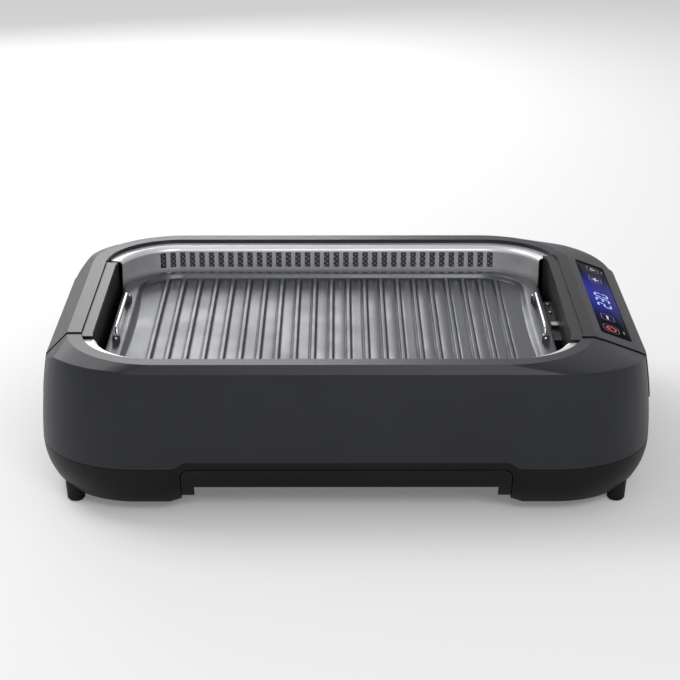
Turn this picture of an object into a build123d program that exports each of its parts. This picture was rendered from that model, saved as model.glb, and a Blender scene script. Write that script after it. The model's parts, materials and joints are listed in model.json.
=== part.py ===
"""Smokeless indoor grill: a countertop cooker with a ribbed plate, a slotted steel well and a fan.

Frame: +Z up, +X to the right, the front faces -Y. The origin is on the table, under the middle
of the body. All sizes are in millimetres.
"""

from build123d import *

import os
from math import atan, cos, radians, sin, sqrt

os.makedirs("parts", exist_ok=True)

# Body outline, measured over the casing
casing_half_x = 260.0
casing_half_y = 185.0
casing_radius = 85.0
rim_z = 136.0
parting_z = 47.3
base_bottom_z = 12.0

# The two arcs of the casing wall's profile, which meet at its widest level
widest_z = 50.0
lower_arc = 56.0
upper_arc = 400.0
casing_headroom = 2.0
core_inset = 50.0
core_lap = 1.0

# Sheet thicknesses and clearances
wall = 2.6
roof = 4.0
floor_thickness = 2.8
seam = 0.5
seat = 0.3
lap = 0.5
over = 60.0
touch_tolerance = 0.01

# Well in the top, which is off centre to leave room for the controls
left_margin = 35.5
right_margin = 59.0
end_margin = 25.0
opening_radius = 67.0
left_rim_width = 11.9
right_rim_width = 9.6
end_rim_width = 13.5

# Slopes that fall from the rim to the shoulders: run for each millimetre of drop
shoulder_drop = 8.0
crease_drop = 14.0
foot_drop = 40.0
front_slope = 0.5
left_slope = 0.99
right_slope = 2.7
right_foot_slope = 2.0
shoulder_radius_step = 17.0

# Side panels
left_panel_margin = 87.9
left_panel_shift = -2.5
right_panel_margin = 73.8
right_panel_shift = 0.9
panel_height = 54.0
panel_proud = 0.9
panel_raise = 1.0
panel_seam = 1.8
notch_reach = 14.0

# Ledge that carries the steel well
ledge_width = 6.0
ledge_thickness = 3.0
ledge_gap = 0.2
skirt_wall = 2.2

# Trim strips and black walls beside the well
trim_width = 9.3
trim_sheet = 1.8
trim_drop = 1.1
trim_skirt = 7.0
trim_lip = 3.2
left_trim_front_gap = 1.5
left_trim_back_gap = 12.0
right_trim_gap = 1.0
screen_inset = 7.0
screen_sheet = 2.0
screen_foot = 13.5
screen_drop = 3.0

# Steel well
sheet = 0.9
flange_drop = 3.6
flange_width = 12.3
bend_radius = 5.0
well_depth = 44.0
well_clearance = 0.4
left_steel_margin = 80.0
right_steel_margin = 71.0
slot_pitch = 9.3
slot_width = 5.4
slot_reach = 10.0
slot_end_inset = 47.75
slot_top_drop = 8.8
slot_bottom_drop = 24.1
slot_shift = -5.85

# Grease filter behind the slots
filter_sheet = 1.2
filter_border = 1.0
filter_gap = 0.3
mesh_pitch_x = 5.6
mesh_pitch_z = 4.6
mesh_hole_x = 3.6
mesh_hole_z = 3.0
mesh_rows = 4

# Cooking plate
plate_drop = 26.6
plate_shift = -1.15
plate_gap_x = 16.35
plate_gap_y = 16.5
plate_radius_step = 17.0
plate_edge_fillet = 1.6
plate_thickness = 3.4
plate_height = 10.5
plate_skirt_wall = 4.0
cook_depth = 4.2
cook_border_x = 14.0
cook_border_y = 8.5
cook_radius_step = 10.0
cook_draft = 30.0
rib_pitch = 15.7
rib_side_gap = 15.0
rib_width = 4.2
rib_root = 1.0
rib_height = 3.0
rib_draft = 10.0
rib_end_gap = 7.0
drain_hole_radius = 3.0
drain_hole_inset = 16.0
drain_hole_count = 6

# Wire bails of the plate and their brackets
bail_wire = 3.4
bail_half_y = 47.0
bail_height = 7.6
bail_taper = 3.0
bail_lean = 2.0
bail_bend = 5.5
pin_bend = 2.4
bail_inset = 8.6
pivot_height = 4.4
pin_clearance = 0.06
pin_proud = 0.6
bracket_width = 5.0
bracket_gap = 2.4
bracket_side = 1.7
bracket_cover = 1.4
bracket_fillet = 2.6

# Heat pan under the plate
pan_sheet = 1.0
pan_step_x = 3.0
pan_step_y = 3.6
pan_radius_step = 6.0
pan_depth = 14.9
drain_radius = 15.0
drain_drop = 7.0
pan_notch_length = 12.0
pan_notch_half_y = 26.0
pan_notch_rise = 3.0
pan_post_gap = 11.4
pan_post_inset_y = 43.0
pan_post_radius = 6.0

# Heating element and its clips
heater_diameter = 6.6
heater_rise = 8.6
heater_bend = 18.0
heater_far_inset = 27.0
heater_near_inset = 33.0
heater_run_inset = 35.0
heater_run_gap = 68.0
heater_return_gap = 48.0
heater_pitch = 28.0
heater_fit = 0.1
clip_length = 16.0
clip_width = 5.0
clip_insets = (60.0, 160.0, 239.0)

# Terminal block at the heater's cold ends
block_gap = 0.8
block_length = 18.7
block_front_y = -30.0
block_back_y = 72.0
block_below = 7.0
block_above = 10.4
block_fillet = 1.2
block_riser = 2.6
riser_width = 7.0
riser_inset = 1.5
riser_length = 5.8
strip_sheet = 0.8
heater_end_inset = 12.0
tab_length = 16.0
tab_width = 5.4
tab_sheet = 1.2
screw_ys = (40.0, 62.0)
terminal_screw_radius = 1.7
terminal_screw_height = 1.8
terminal_screw_inset = 4.4

# Thermal cutout under the heat pan
cutout_radius = 8.5
cutout_height = 5.0
cutout_strap = 26.0
cutout_strap_width = 7.0
cutout_offset_x = 70.0
cutout_y = -40.0

# Arch at the front, with its bevel, and the raised joint line above it
arch_half_x = 138.0
arch_top_z = 45.5
arch_radius = 8.0
arch_depth = 45.0
arch_raise = 6.0
arch_ramp = 14.0
ramp_outside = 7.7
bevel_width = 9.5
bevel_depth = 5.0
frame_wall = 2.5

# Drip tray and its rails
tray_gap = 0.8
tray_recess = 5.0
tray_wall = 2.0
tray_face_wall = 3.0
tray_side_gap = 5.5
tray_front_inset = 39.0
tray_fan_gap = 16.0
tray_rise = 2.2
tray_top_gap = 3.5
tray_corner = 8.0
corner_slant = 12.0
grip_inset = 11.0
grip_rise = 15.3
shelf_thickness = 2.0
shelf_rise = 0.4
rail_wall = 2.0
rail_height = 18.0
rail_lip = 8.0
rail_side_gap = 0.6

# Fan
fan_back_gap = 77.0
fan_radius = 42.0
fan_height = 24.0
fan_inlet_radius = 30.0
fan_plate = 2.0
fan_ring = 6.0
hub_radius = 9.0
hub_height = 14.0
blade_count = 24
blade_depth = 12.0
blade_thickness = 1.4
blade_angle = 35.0
wheel_gap = 5.0
scroll_radius = 54.0
scroll_rise = 19.2
scroll_height = 36.0
scroll_wall = 2.0
outlet_gap = 6.2
motor_radius = 19.0
motor_rise = 1.4
motor_fillet = 2.0
motor_opening = 8.6
shaft_radius = 2.0
shaft_play = 0.05
shaft_fit = 0.02
shaft_well = 2.3
shaft_short = 4.0
clip_radius = 5.0
clip_sheet = 2.0
fan_post_ring = 47.0
fan_post_radius = 4.0

# Exhaust louvres
louvre_pitch = 6.0
louvre_count = 8
louvre_width = 3.2
louvre_height = 15.0
louvre_rise = 25.0

# Intake duct
duct_wall = 1.6
duct_end_inset = 45.75
duct_back_gap = 17.0
duct_gap = 0.6
duct_face_gap = 0.2
trough_depth = 29.7
chute_half_x = 58.0
chute_front_gap = 6.0

# Feet
foot_inset_x = 30.0
foot_inset_y = 47.0
foot_radius = 7.5
foot_draft = 4.0
foot_reach = 20.0
foot_gap = 0.02
pad_thickness = 2.0
pad_inset = 1.2
pad_fillet = 0.6

# Controls on the right-hand slope
glass_start = 7.5
glass_width = 28.3
glass_end_margin = 12.7
glass_offset_y = 5.3
glass_thickness = 2.0
glass_radius = 3.0
glass_recess = 0.4
glass_clearance = 0.25
glass_rest = 2.0
bezel_depth = 5.4
bezel_roof = 1.0
bezel_side = 2.0
board_thickness = 1.6
board_gap = 0.1
display_width = 19.0
display_length = 52.0
touch_radius = 5.0
touch_insets_front = (16.0, 40.0)
touch_insets_back = (18.0, 44.0)

# Mains inlet at the back
inlet_x = 150.0
inlet_z = 68.0
inlet_width = 27.0
inlet_height = 19.6
inlet_depth = 24.0
inlet_wall = 1.5
inlet_flange = 3.0
inlet_flange_sheet = 2.0
inlet_flange_gap = 4.4
inlet_back_gap = 1.2
pin_width = 2.0
pin_height = 3.6
pin_length = 22.0
pin_inside = 6.0
pin_fit = 0.02
pin_places = ((-7.0, 1.6), (7.0, 1.6), (0.0, 5.0))

# Power board and what stands on it
board_inset_x = 54.0
board_half_x = 34.0
board_half_y = 70.0
board_rise = 15.0
board_post_radius = 3.0
board_post_inset = 6.0
relay_size = (20.0, 28.0, 16.0)
filter_coil_size = (22.0, 24.0, 20.0)
heat_sink_size = (6.0, 34.0, 24.0)
capacitor_radius = 8.0
capacitor_height = 20.0
relay_place = (-16.0, -38.0)
filter_coil_place = (16.0, -40.0)
heat_sink_place = (18.0, 26.0)
capacitor_place = (-14.0, 22.0)
connector_size = (10.0, 8.0, 11.0)
heater_plug_offset = 8.0
mains_plug_offset = 24.0
fan_plug_offset = 6.0
plug_y = 60.0
vent_count = 9
vent_pitch = 9.0
vent_width = 3.2

# Fixings
tongue_wall = 1.8
tongue_rise = 3.5
tongue_fall = 7.0
tongue_root_top = 4.5
tongue_root_fall = 9.0
boss_inset_x = 62.0
boss_inset_y = 45.0
boss_radius = 5.0
boss_height = 26.0
screw_radius = 1.9
screw_play = 0.1
screw_length = 22.0
screw_head_radius = 3.6
screw_head_height = 2.4
screw_head_rise = 3.0
screw_end_fillet = 0.6

# Routes of the leads
lead_diameter = 3.4
heater_lead_reach = 14.0
front_lead_fall = 28.0
back_lead_fall = 26.0
back_lead_low = 32.0
heater_lead_radii = [6.0, 5.6, 5.6]
mains_first_run = 20.0
mains_second_run = 54.0
mains_fall = 2.0
mains_lead_radii = [8.0, 12.0, 8.0]
fan_lead_rise = 5.0
fan_lead_run = 60.0
fan_lead_shift = 12.0
fan_lead_back_y = 92.0
fan_lead_high_z = 62.0
fan_lead_radii = [22.0, 22.0, 8.0, 8.0, 7.0]

# Levels and places that follow from the sizes above
casing_top_z = rim_z + casing_headroom
floor_z = base_bottom_z + floor_thickness
panel_bottom_z = rim_z - panel_height
flange_top_z = rim_z - flange_drop
trim_top_z = rim_z - trim_drop
ledge_top_z = flange_top_z - sheet - ledge_gap
ledge_bottom_z = ledge_top_z - ledge_thickness
well_bottom_z = rim_z - well_depth
slot_top_z = rim_z - slot_top_drop
slot_bottom_z = rim_z - slot_bottom_drop
plate_top_z = rim_z - plate_drop
plate_skirt_z = plate_top_z - plate_height
pan_floor_z = plate_skirt_z - pan_depth
heater_z = pan_floor_z + heater_rise
tray_floor_z = floor_z + tray_rise
tray_top_z = arch_top_z - tray_top_gap
grip_top_z = base_bottom_z + grip_rise
scroll_floor_z = floor_z + scroll_rise
scroll_top_z = scroll_floor_z + scroll_height
screw_head_z = base_bottom_z + screw_head_rise

left_edge_x = left_margin - casing_half_x
right_edge_x = casing_half_x - right_margin
well_x = (left_edge_x + right_edge_x) / 2
opening_half_x = (right_edge_x - left_edge_x) / 2
opening_half_y = casing_half_y - end_margin
crease_x = right_edge_x + right_rim_width
shoulder_radius = opening_radius - shoulder_radius_step
left_panel_half_y = casing_half_y - left_panel_margin
right_panel_half_y = casing_half_y - right_panel_margin
left_steel_end = casing_half_y - left_steel_margin
right_steel_end = casing_half_y - right_steel_margin
left_trim_front = left_steel_end - left_trim_front_gap
left_trim_back = left_steel_end - left_trim_back_gap
right_trim_half_y = right_steel_end - right_trim_gap
slot_count = int(2 * (opening_half_x - slot_end_inset) / slot_pitch)
duct_half_x = opening_half_x - duct_end_inset
plate_x = well_x + plate_shift
plate_half_x = opening_half_x - plate_gap_x
plate_half_y = opening_half_y - plate_gap_y
plate_radius = opening_radius - plate_radius_step
cook_half_x = plate_half_x - cook_border_x
cook_half_y = plate_half_y - cook_border_y
cook_radius = plate_radius - cook_radius_step
rib_count = int(2 * (cook_half_x - rib_side_gap) / rib_pitch)
pan_half_x = plate_half_x - pan_step_x
pan_half_y = plate_half_y - pan_step_y
pan_radius = plate_radius - pan_radius_step
fan_x = well_x
fan_y = casing_half_y - fan_back_gap
tray_half_x = arch_half_x - tray_side_gap
tray_front_y = tray_front_inset - casing_half_y
tray_back_y = fan_y - scroll_radius - tray_fan_gap
grip_half_x = arch_half_x - grip_inset
board_x = casing_half_x - board_inset_x
board_z = floor_z + board_rise
block_x = plate_x + plate_half_x + block_gap
heater_end_x = block_x + heater_end_inset
filter_y = opening_half_y - well_clearance - flange_width + sheet + filter_gap

boss_places = [
    (x, y)
    for x in (boss_inset_x - casing_half_x, casing_half_x - boss_inset_x)
    for y in (boss_inset_y - casing_half_y, casing_half_y - boss_inset_y)
]
pan_post_x = tray_half_x + rail_side_gap + rail_wall + pan_post_gap + pan_post_radius
pan_post_y = pan_half_y - pan_post_inset_y
pan_post_places = [(side * pan_post_x, end * pan_post_y) for side in (-1, 1) for end in (-1, 1)]
foot_places = [
    (side * (casing_half_x - foot_inset_x), end * (casing_half_y - foot_inset_y))
    for side in (-1, 1)
    for end in (-1, 1)
]
board_post_places = [
    (board_x + side * (board_half_x - board_post_inset), end * (board_half_y - board_post_inset))
    for side in (-1, 1)
    for end in (-1, 1)
]
on_floor = (Align.CENTER, Align.CENTER, Align.MIN)
hanging = (Align.CENTER, Align.CENTER, Align.MAX)


def save(part, name):
    """Labels one finished piece and writes its file."""
    part.label = name
    export_step(part, f"parts/{name}.step")


def edge_x(side):
    """X of the well opening's left edge for side -1 and of its right edge for side 1."""
    return well_x + side * opening_half_x


def casing(grow=0.0):
    """The whole outer form of the casing, grown or shrunk by an even distance."""
    with BuildSketch() as plan:
        RectangleRounded(2 * casing_half_x, 2 * casing_half_y, casing_radius)
    outline = plan.sketch.faces()[0].outer_wire()
    outward = (outline % 0).cross(Vector(0, 0, 1))
    if outward.dot(outline @ 0) < 0:
        outward = -outward
    wall_plane = Plane(
        origin=outline @ 0, x_dir=outward, z_dir=outward.cross(Vector(0, 0, 1))
    )
    low_reach = sqrt((lower_arc + grow) ** 2 - (widest_z - base_bottom_z) ** 2)
    high_reach = sqrt((upper_arc + grow) ** 2 - (casing_top_z - widest_z) ** 2)
    core_edge = core_inset - core_lap
    with BuildPart() as form:
        with BuildSketch(wall_plane):
            with BuildLine():
                bottom = Line((-core_inset, base_bottom_z), (low_reach - lower_arc, base_bottom_z))
                low = RadiusArc(bottom @ 1, (grow, widest_z), -(lower_arc + grow))
                high_end = (high_reach - upper_arc, casing_top_z)
                high = RadiusArc(low @ 1, high_end, -(upper_arc + grow))
                top = Line(high @ 1, (-core_inset, casing_top_z))
                Line(top @ 1, bottom @ 0)
            make_face()
        sweep(path=outline)
        with BuildSketch(Plane.XY.offset(base_bottom_z)):
            RectangleRounded(
                2 * (casing_half_x - core_edge),
                2 * (casing_half_y - core_edge),
                casing_radius - core_edge,
            )
        extrude(amount=casing_top_z - base_bottom_z)
    return form.part


def crown(lower=0.0):
    """The flat rim and the slopes that fall from it to the shoulders, set lower by a distance."""
    crease_run = right_slope * crease_drop
    foot_run = crease_run + right_foot_slope * (foot_drop - crease_drop)
    right_runs = {
        0.0: 0.0,
        shoulder_drop: right_slope * shoulder_drop,
        crease_drop: crease_run,
        foot_drop: foot_run,
    }
    with BuildPart() as form:
        for drop, right_run in right_runs.items():
            radius = shoulder_radius if drop else opening_radius + end_rim_width
            left_x = left_edge_x - left_rim_width - left_slope * drop
            right_x = crease_x + right_run
            half_y = opening_half_y + end_rim_width + front_slope * drop
            with BuildSketch(Plane.XY.offset(rim_z - lower - drop)):
                with Locations(((left_x + right_x) / 2, 0)):
                    RectangleRounded(right_x - left_x, 2 * half_y, radius)
        loft(ruled=True)
        with BuildSketch(Plane.XY.offset(rim_z - lower - foot_drop)):
            Rectangle(3 * casing_half_x, 3 * casing_half_y)
        extrude(amount=-rim_z)
    return form.part


def well_outline(offset):
    """Sketches the well opening's outline, grown or shrunk by an even distance."""
    RectangleRounded(
        2 * (opening_half_x + offset), 2 * (opening_half_y + offset), opening_radius + offset
    )


def opening(z_low):
    """A plug with the outline of the well's opening, from a height upwards."""
    with BuildPart() as plug:
        with BuildSketch(Plane.XY.offset(z_low)):
            with Locations((well_x, 0)):
                well_outline(0)
        extrude(amount=rim_z)
    return plug.part


def well_ring(outer_offset, inner_offset, z_low, z_high):
    """An upright ring that follows the well's outline, between two offsets from the opening."""
    with BuildPart() as ring:
        with BuildSketch(Plane.XY.offset(z_low)):
            with Locations((well_x, 0)):
                well_outline(outer_offset)
        extrude(amount=z_high - z_low)
        with BuildSketch(Plane.XY.offset(z_low)):
            with Locations((well_x, 0)):
                well_outline(inner_offset)
        extrude(amount=z_high - z_low, mode=Mode.SUBTRACT)
    return ring.part


def wall_ring(outer_offset, inner_offset, z_low, z_high):
    """A band of the casing's wall between two offsets and two heights."""
    with BuildPart() as band:
        add(casing(outer_offset))
        with Locations((0, 0, z_low)):
            Box(
                3 * casing_half_x,
                3 * casing_half_y,
                z_high - z_low,
                align=on_floor,
                mode=Mode.INTERSECT,
            )
        add(casing(inner_offset), mode=Mode.SUBTRACT)
    return band.part


def lies_on(shape):
    """A test for edges whose middle lies on the given shape."""
    return lambda edge: Vertex(*(edge @ 0.5)).distance_to(shape) < touch_tolerance


def base_region(lower=0.0):
    """What lies below the joint line, which steps up over the tray's arch at the front."""
    top = parting_z - lower
    raised = top + arch_raise
    ramp_foot = arch_half_x + ramp_outside
    ramp_head = ramp_foot - arch_ramp
    root = top - over / 2
    with BuildPart() as region:
        with BuildSketch():
            Rectangle(3 * casing_half_x, 3 * casing_half_y)
        extrude(amount=top)
        with BuildSketch(Plane.XZ.offset(casing_half_y - arch_depth)):
            with BuildLine():
                left = Spline(
                    (-ramp_foot, top), (-ramp_head, raised), tangents=[(1, 0), (1, 0)]
                )
                across = Line(left @ 1, (ramp_head, raised))
                right = Spline(across @ 1, (ramp_foot, top), tangents=[(1, 0), (1, 0)])
                Polyline(right @ 1, (ramp_foot, root), (-ramp_foot, root), left @ 0)
            make_face()
        extrude(amount=over)
    return region.part


def arch_cutter():
    """The tray's way through the front wall, with rounded upper corners."""
    with BuildPart() as cutter:
        with BuildSketch(Plane.XZ.offset(casing_half_y - arch_depth)):
            with Locations((0, arch_top_z)):
                Rectangle(2 * arch_half_x, over, align=(Align.CENTER, Align.MAX))
        extrude(amount=over)
        fillet(cutter.edges().filter_by(Axis.Y).group_by(Axis.Z)[-1], arch_radius)
    return cutter.part


def panel_block(side, grow_y, grow_z):
    """The block that a side panel fills, made longer and deeper by two clearances."""
    half_y = left_panel_half_y if side < 0 else right_panel_half_y
    shift_y = left_panel_shift if side < 0 else right_panel_shift
    alignment = (Align.MAX if side < 0 else Align.MIN, Align.CENTER, Align.MIN)
    with BuildPart() as block:
        with Locations((edge_x(side) - side * notch_reach, shift_y, panel_bottom_z - grow_z)):
            Box(casing_half_x, 2 * (half_y + grow_y), rim_z, align=alignment)
    return block.part


outer_casing = casing()
inner_casing = casing(-wall)
proud_casing = casing(panel_proud)
top_crown = crown()
raised_crown = crown(-panel_raise)
inner_crown = crown(roof)

with BuildPart() as hollow_form:
    add(inner_casing)
    add(inner_crown, mode=Mode.INTERSECT)
cavity = hollow_form.part
well_plug = opening(rim_z - foot_drop)
rim_skirt = well_ring(skirt_wall, 0, ledge_bottom_z, rim_z - roof + lap)

# Upper casing with the rim round the well
with BuildPart() as upper_casing:
    add(outer_casing)
    add(top_crown, mode=Mode.INTERSECT)
    add(cavity, mode=Mode.SUBTRACT)
    add(well_plug, mode=Mode.SUBTRACT)
    add(rim_skirt)
    add(well_ring(ledge_gap, -ledge_width, ledge_bottom_z, ledge_top_z))
    add(base_region(-seam), mode=Mode.SUBTRACT)
    # Notches that the side panels fill
    for notch_side in (-1, 1):
        add(panel_block(notch_side, panel_seam, seat), mode=Mode.SUBTRACT)
    # Exhaust louvres behind the fan
    with Locations((fan_x - scroll_radius / 2, casing_half_y, scroll_floor_z + louvre_rise)):
        with GridLocations(louvre_pitch, 0, louvre_count, 1):
            Box(louvre_width, over / 2, louvre_height, mode=Mode.SUBTRACT)
    # Window of the mains inlet
    with Locations((inlet_x, casing_half_y, inlet_z)):
        Box(inlet_width + 2 * seat, over / 2, inlet_height + 2 * seat, mode=Mode.SUBTRACT)
save(upper_casing.part, "upper_casing")

# Lower casing with the bevelled arch for the tray
arch_plug = arch_cutter()
with BuildPart() as base_form:
    add(outer_casing)
    add(arch_plug, mode=Mode.SUBTRACT)
    front_face = base_form.faces().sort_by_distance((0, -casing_half_y, arch_top_z + lap))[0]
    arch_edges = front_face.edges().filter_by(lies_on(arch_plug.shell()))
    chamfer(arch_edges, bevel_width, bevel_depth, reference=front_face)
with BuildPart() as base_hollow:
    add(inner_casing)
    with Locations((0, 0, floor_z)):
        Box(
            3 * casing_half_x,
            3 * casing_half_y,
            rim_z,
            align=on_floor,
            mode=Mode.INTERSECT,
        )
# Frame that backs the bevel, which is deeper than the wall, along the arch
with BuildPart() as arch_frame:
    add(base_form.part)
    add(casing(-bevel_depth - frame_wall), mode=Mode.SUBTRACT)
    with Locations((0, -casing_half_y, base_bottom_z)):
        Box(
            2 * (arch_half_x + bevel_width + frame_wall),
            over,
            over,
            align=on_floor,
            mode=Mode.INTERSECT,
        )
    add(base_region(), mode=Mode.INTERSECT)
with BuildPart() as lower_casing:
    add(base_form.part)
    add(base_region(), mode=Mode.INTERSECT)
    add(base_hollow.part, mode=Mode.SUBTRACT)
    add(arch_frame.part)
    # Tongue inside the joint, and the step that carries it
    tongue_face = -wall - seat
    tongue_back = tongue_face - tongue_wall
    tongue_low_z = parting_z - tongue_fall
    root_low_z = parting_z - tongue_root_fall
    add(wall_ring(tongue_face, tongue_back, tongue_low_z, parting_z + tongue_rise))
    add(wall_ring(seat - wall, tongue_back, root_low_z, parting_z - tongue_root_top))
    # Posts under the heat pan, the board and the fan, and bosses for the casing screws
    with Locations(*[(x, y, floor_z - lap) for x, y in pan_post_places]):
        Cylinder(pan_post_radius, pan_floor_z - pan_sheet - seat - floor_z + lap, align=on_floor)
    with Locations(*[(x, y, floor_z - lap) for x, y in board_post_places]):
        Cylinder(board_post_radius, board_rise - seat + lap, align=on_floor)
    with Locations((fan_x, fan_y, floor_z - lap)):
        with PolarLocations(fan_post_ring, 3, start_angle=90):
            Cylinder(fan_post_radius, scroll_rise - seat + lap, align=on_floor)
    with Locations(*[(x, y, floor_z - lap) for x, y in boss_places]):
        Cylinder(boss_radius, boss_height, align=on_floor)
    # The arch and its bevel, cut through the tongue as well
    add(base_form.part, mode=Mode.INTERSECT)
    # Way in for the fingers from below
    with Locations((0, tray_front_y, base_bottom_z)):
        Box(
            2 * grip_half_x,
            over,
            2 * floor_thickness + over / 2,
            align=(Align.CENTER, Align.MAX, Align.CENTER),
            mode=Mode.SUBTRACT,
        )
    # Screw holes and cooling slots in the floor
    with Locations(*[(x, y, base_bottom_z) for x, y in boss_places]):
        Cylinder(screw_radius + screw_play, over, mode=Mode.SUBTRACT)
        Cylinder(screw_head_radius + seat, 2 * screw_head_rise, mode=Mode.SUBTRACT)
    with Locations((board_x, 0, floor_z)):
        with GridLocations(0, vent_pitch, 1, vent_count):
            Box(board_half_x, vent_width, 3 * floor_thickness, mode=Mode.SUBTRACT)
save(lower_casing.part, "lower_casing")

# Feet and their rubber pads
with BuildPart() as foot_blank:
    with BuildSketch(Plane.XY.offset(pad_thickness)):
        with Locations(*foot_places):
            Circle(foot_radius)
    extrude(amount=foot_reach, taper=-foot_draft)
    add(casing(foot_gap), mode=Mode.SUBTRACT)
with BuildPart() as feet:
    for foot in foot_blank.part.solids():
        if foot.bounding_box().min.Z < base_bottom_z / 2:
            add(foot)
save(feet.part, "feet")

with BuildPart() as foot_pads:
    with BuildSketch():
        with Locations(*foot_places):
            Circle(foot_radius - pad_inset)
    extrude(amount=pad_thickness)
    fillet(foot_pads.edges().group_by(Axis.Z)[0], pad_fillet)
save(foot_pads.part, "foot_pads")


# Side panels: the left one is a plain cover, the right one carries the controls
def side_panel(side):
    """A panel that fills a notch of the upper casing: side is -1 for left and 1 for right."""
    with BuildPart() as panel:
        add(proud_casing)
        add(raised_crown, mode=Mode.INTERSECT)
        add(cavity, mode=Mode.SUBTRACT)
        add(well_plug, mode=Mode.SUBTRACT)
        add(rim_skirt)
        add(panel_block(side, 0, 0), mode=Mode.INTERSECT)
    return panel.part


save(side_panel(-1), "left_side_panel")

slope_angle = atan(1 / right_slope)
slope_plane = Plane(
    origin=(crease_x, right_panel_shift + glass_offset_y, rim_z + panel_raise),
    x_dir=(cos(slope_angle), 0, -sin(slope_angle)),
    z_dir=(sin(slope_angle), 0, cos(slope_angle)),
)
glass_length = 2 * (right_panel_half_y - glass_end_margin)
glass_middle = glass_start + glass_width / 2
glass_underside = glass_recess + glass_thickness


def on_slope(depth):
    """The slope's plane, set a distance into the casing."""
    return slope_plane.offset(-depth)


def glass_outline(grow):
    """Sketches the glass's outline, grown or shrunk by an even distance."""
    with Locations((glass_middle, 0)):
        RectangleRounded(
            glass_width + 2 * grow, glass_length + 2 * grow, max(glass_radius + grow, glass_recess)
        )


with BuildPart() as control_panel:
    add(side_panel(1))
    with BuildSketch(on_slope(bezel_depth)):
        with Locations((glass_middle, 0)):
            Rectangle(glass_width + 2 * bezel_side, glass_length + 3 * bezel_side)
    extrude(amount=bezel_depth - bezel_roof)
    with BuildSketch(on_slope(glass_underside + board_gap)):
        glass_outline(glass_clearance)
    extrude(amount=bezel_depth, mode=Mode.SUBTRACT)
    with BuildSketch(on_slope(over / 3)):
        glass_outline(-glass_rest)
    extrude(amount=over / 3, mode=Mode.SUBTRACT)
save(control_panel.part, "control_panel")

with BuildPart() as control_glass:
    with BuildSketch(on_slope(glass_underside)):
        glass_outline(0)
    extrude(amount=glass_thickness)
save(control_glass.part, "control_glass")

board_depth = bezel_depth + board_gap
with BuildPart() as display_board:
    with BuildSketch(on_slope(board_depth + board_thickness)):
        with Locations((glass_middle, 0)):
            Rectangle(glass_width, glass_length)
    extrude(amount=board_thickness)
save(display_board.part, "display_board")

with BuildPart() as digit_display:
    with BuildSketch(on_slope(board_depth)):
        with Locations((glass_middle, 0)):
            Rectangle(display_width, display_length)
    extrude(amount=board_depth - glass_underside - board_gap)
save(digit_display.part, "digit_display")

touch_places = [(glass_middle, inset - glass_length / 2) for inset in touch_insets_front]
touch_places += [(glass_middle, glass_length / 2 - inset) for inset in touch_insets_back]
with BuildPart() as touch_contacts:
    with BuildSketch(on_slope(board_depth)):
        with Locations(*touch_places):
            Circle(touch_radius)
    extrude(amount=board_depth - glass_underside - board_gap)
save(touch_contacts.part, "touch_contacts")


# Trim strips and black screens that close the well at both sides
def side_block(side, front_y, back_y):
    """A tall block over one side of the well, between two places along Y."""
    with BuildPart() as block:
        with Locations((edge_x(side), front_y, 0)):
            Box(
                opening_half_x,
                back_y - front_y,
                2 * rim_z,
                align=(Align.CENTER, Align.MIN, Align.CENTER),
            )
    return block.part


def trim_strip(side, front_y, back_y):
    """The narrow strip beside the opening, with a skirt inside the panel and a lip."""
    skirt_half_y = (left_panel_half_y if side < 0 else right_panel_half_y) - seam
    skirt_shift = left_panel_shift if side < 0 else right_panel_shift
    with BuildPart() as skirt:
        add(well_ring(-seat, -seat - trim_sheet, trim_top_z - trim_skirt, trim_top_z))
        add(
            side_block(side, skirt_shift - skirt_half_y, skirt_shift + skirt_half_y),
            mode=Mode.INTERSECT,
        )
    with BuildPart() as strip:
        add(well_ring(-seat, -trim_width, trim_top_z - trim_sheet, trim_top_z))
        add(skirt.part)
        add(well_ring(trim_sheet - trim_width, -trim_width, trim_top_z - trim_lip, trim_top_z))
        add(side_block(side, front_y, back_y), mode=Mode.INTERSECT)
    return strip.part


block_z = heater_z - block_below
block_height = block_below + block_above


def heat_screen(side, end_y):
    """The upright black wall under the trim strip, with a foot towards the plate."""
    top_z = trim_top_z - trim_lip - seat
    low_z = pan_floor_z - screen_drop
    inner = -screen_inset - screen_sheet
    with BuildPart() as screen:
        add(well_ring(-screen_inset, inner, low_z, top_z))
        add(well_ring(-screen_inset, -screen_foot, low_z, low_z + screen_sheet))
        add(side_block(side, seat - end_y, end_y - seat), mode=Mode.INTERSECT)
        if side > 0:
            # Window for the heater's terminal block
            with Locations((edge_x(side), block_front_y - seat, block_z - seat)):
                Box(
                    opening_half_x / 2,
                    block_back_y - block_front_y + 2 * seat,
                    block_height + 2 * seat,
                    align=(Align.CENTER, Align.MIN, Align.MIN),
                    mode=Mode.SUBTRACT,
                )
    return screen.part


save(trim_strip(-1, -left_trim_front, left_trim_back), "left_trim_strip")
save(trim_strip(1, -right_trim_half_y, right_trim_half_y), "right_trim_strip")
save(heat_screen(-1, left_steel_end), "left_heat_wall")
save(heat_screen(1, right_steel_end), "right_heat_wall")


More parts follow.
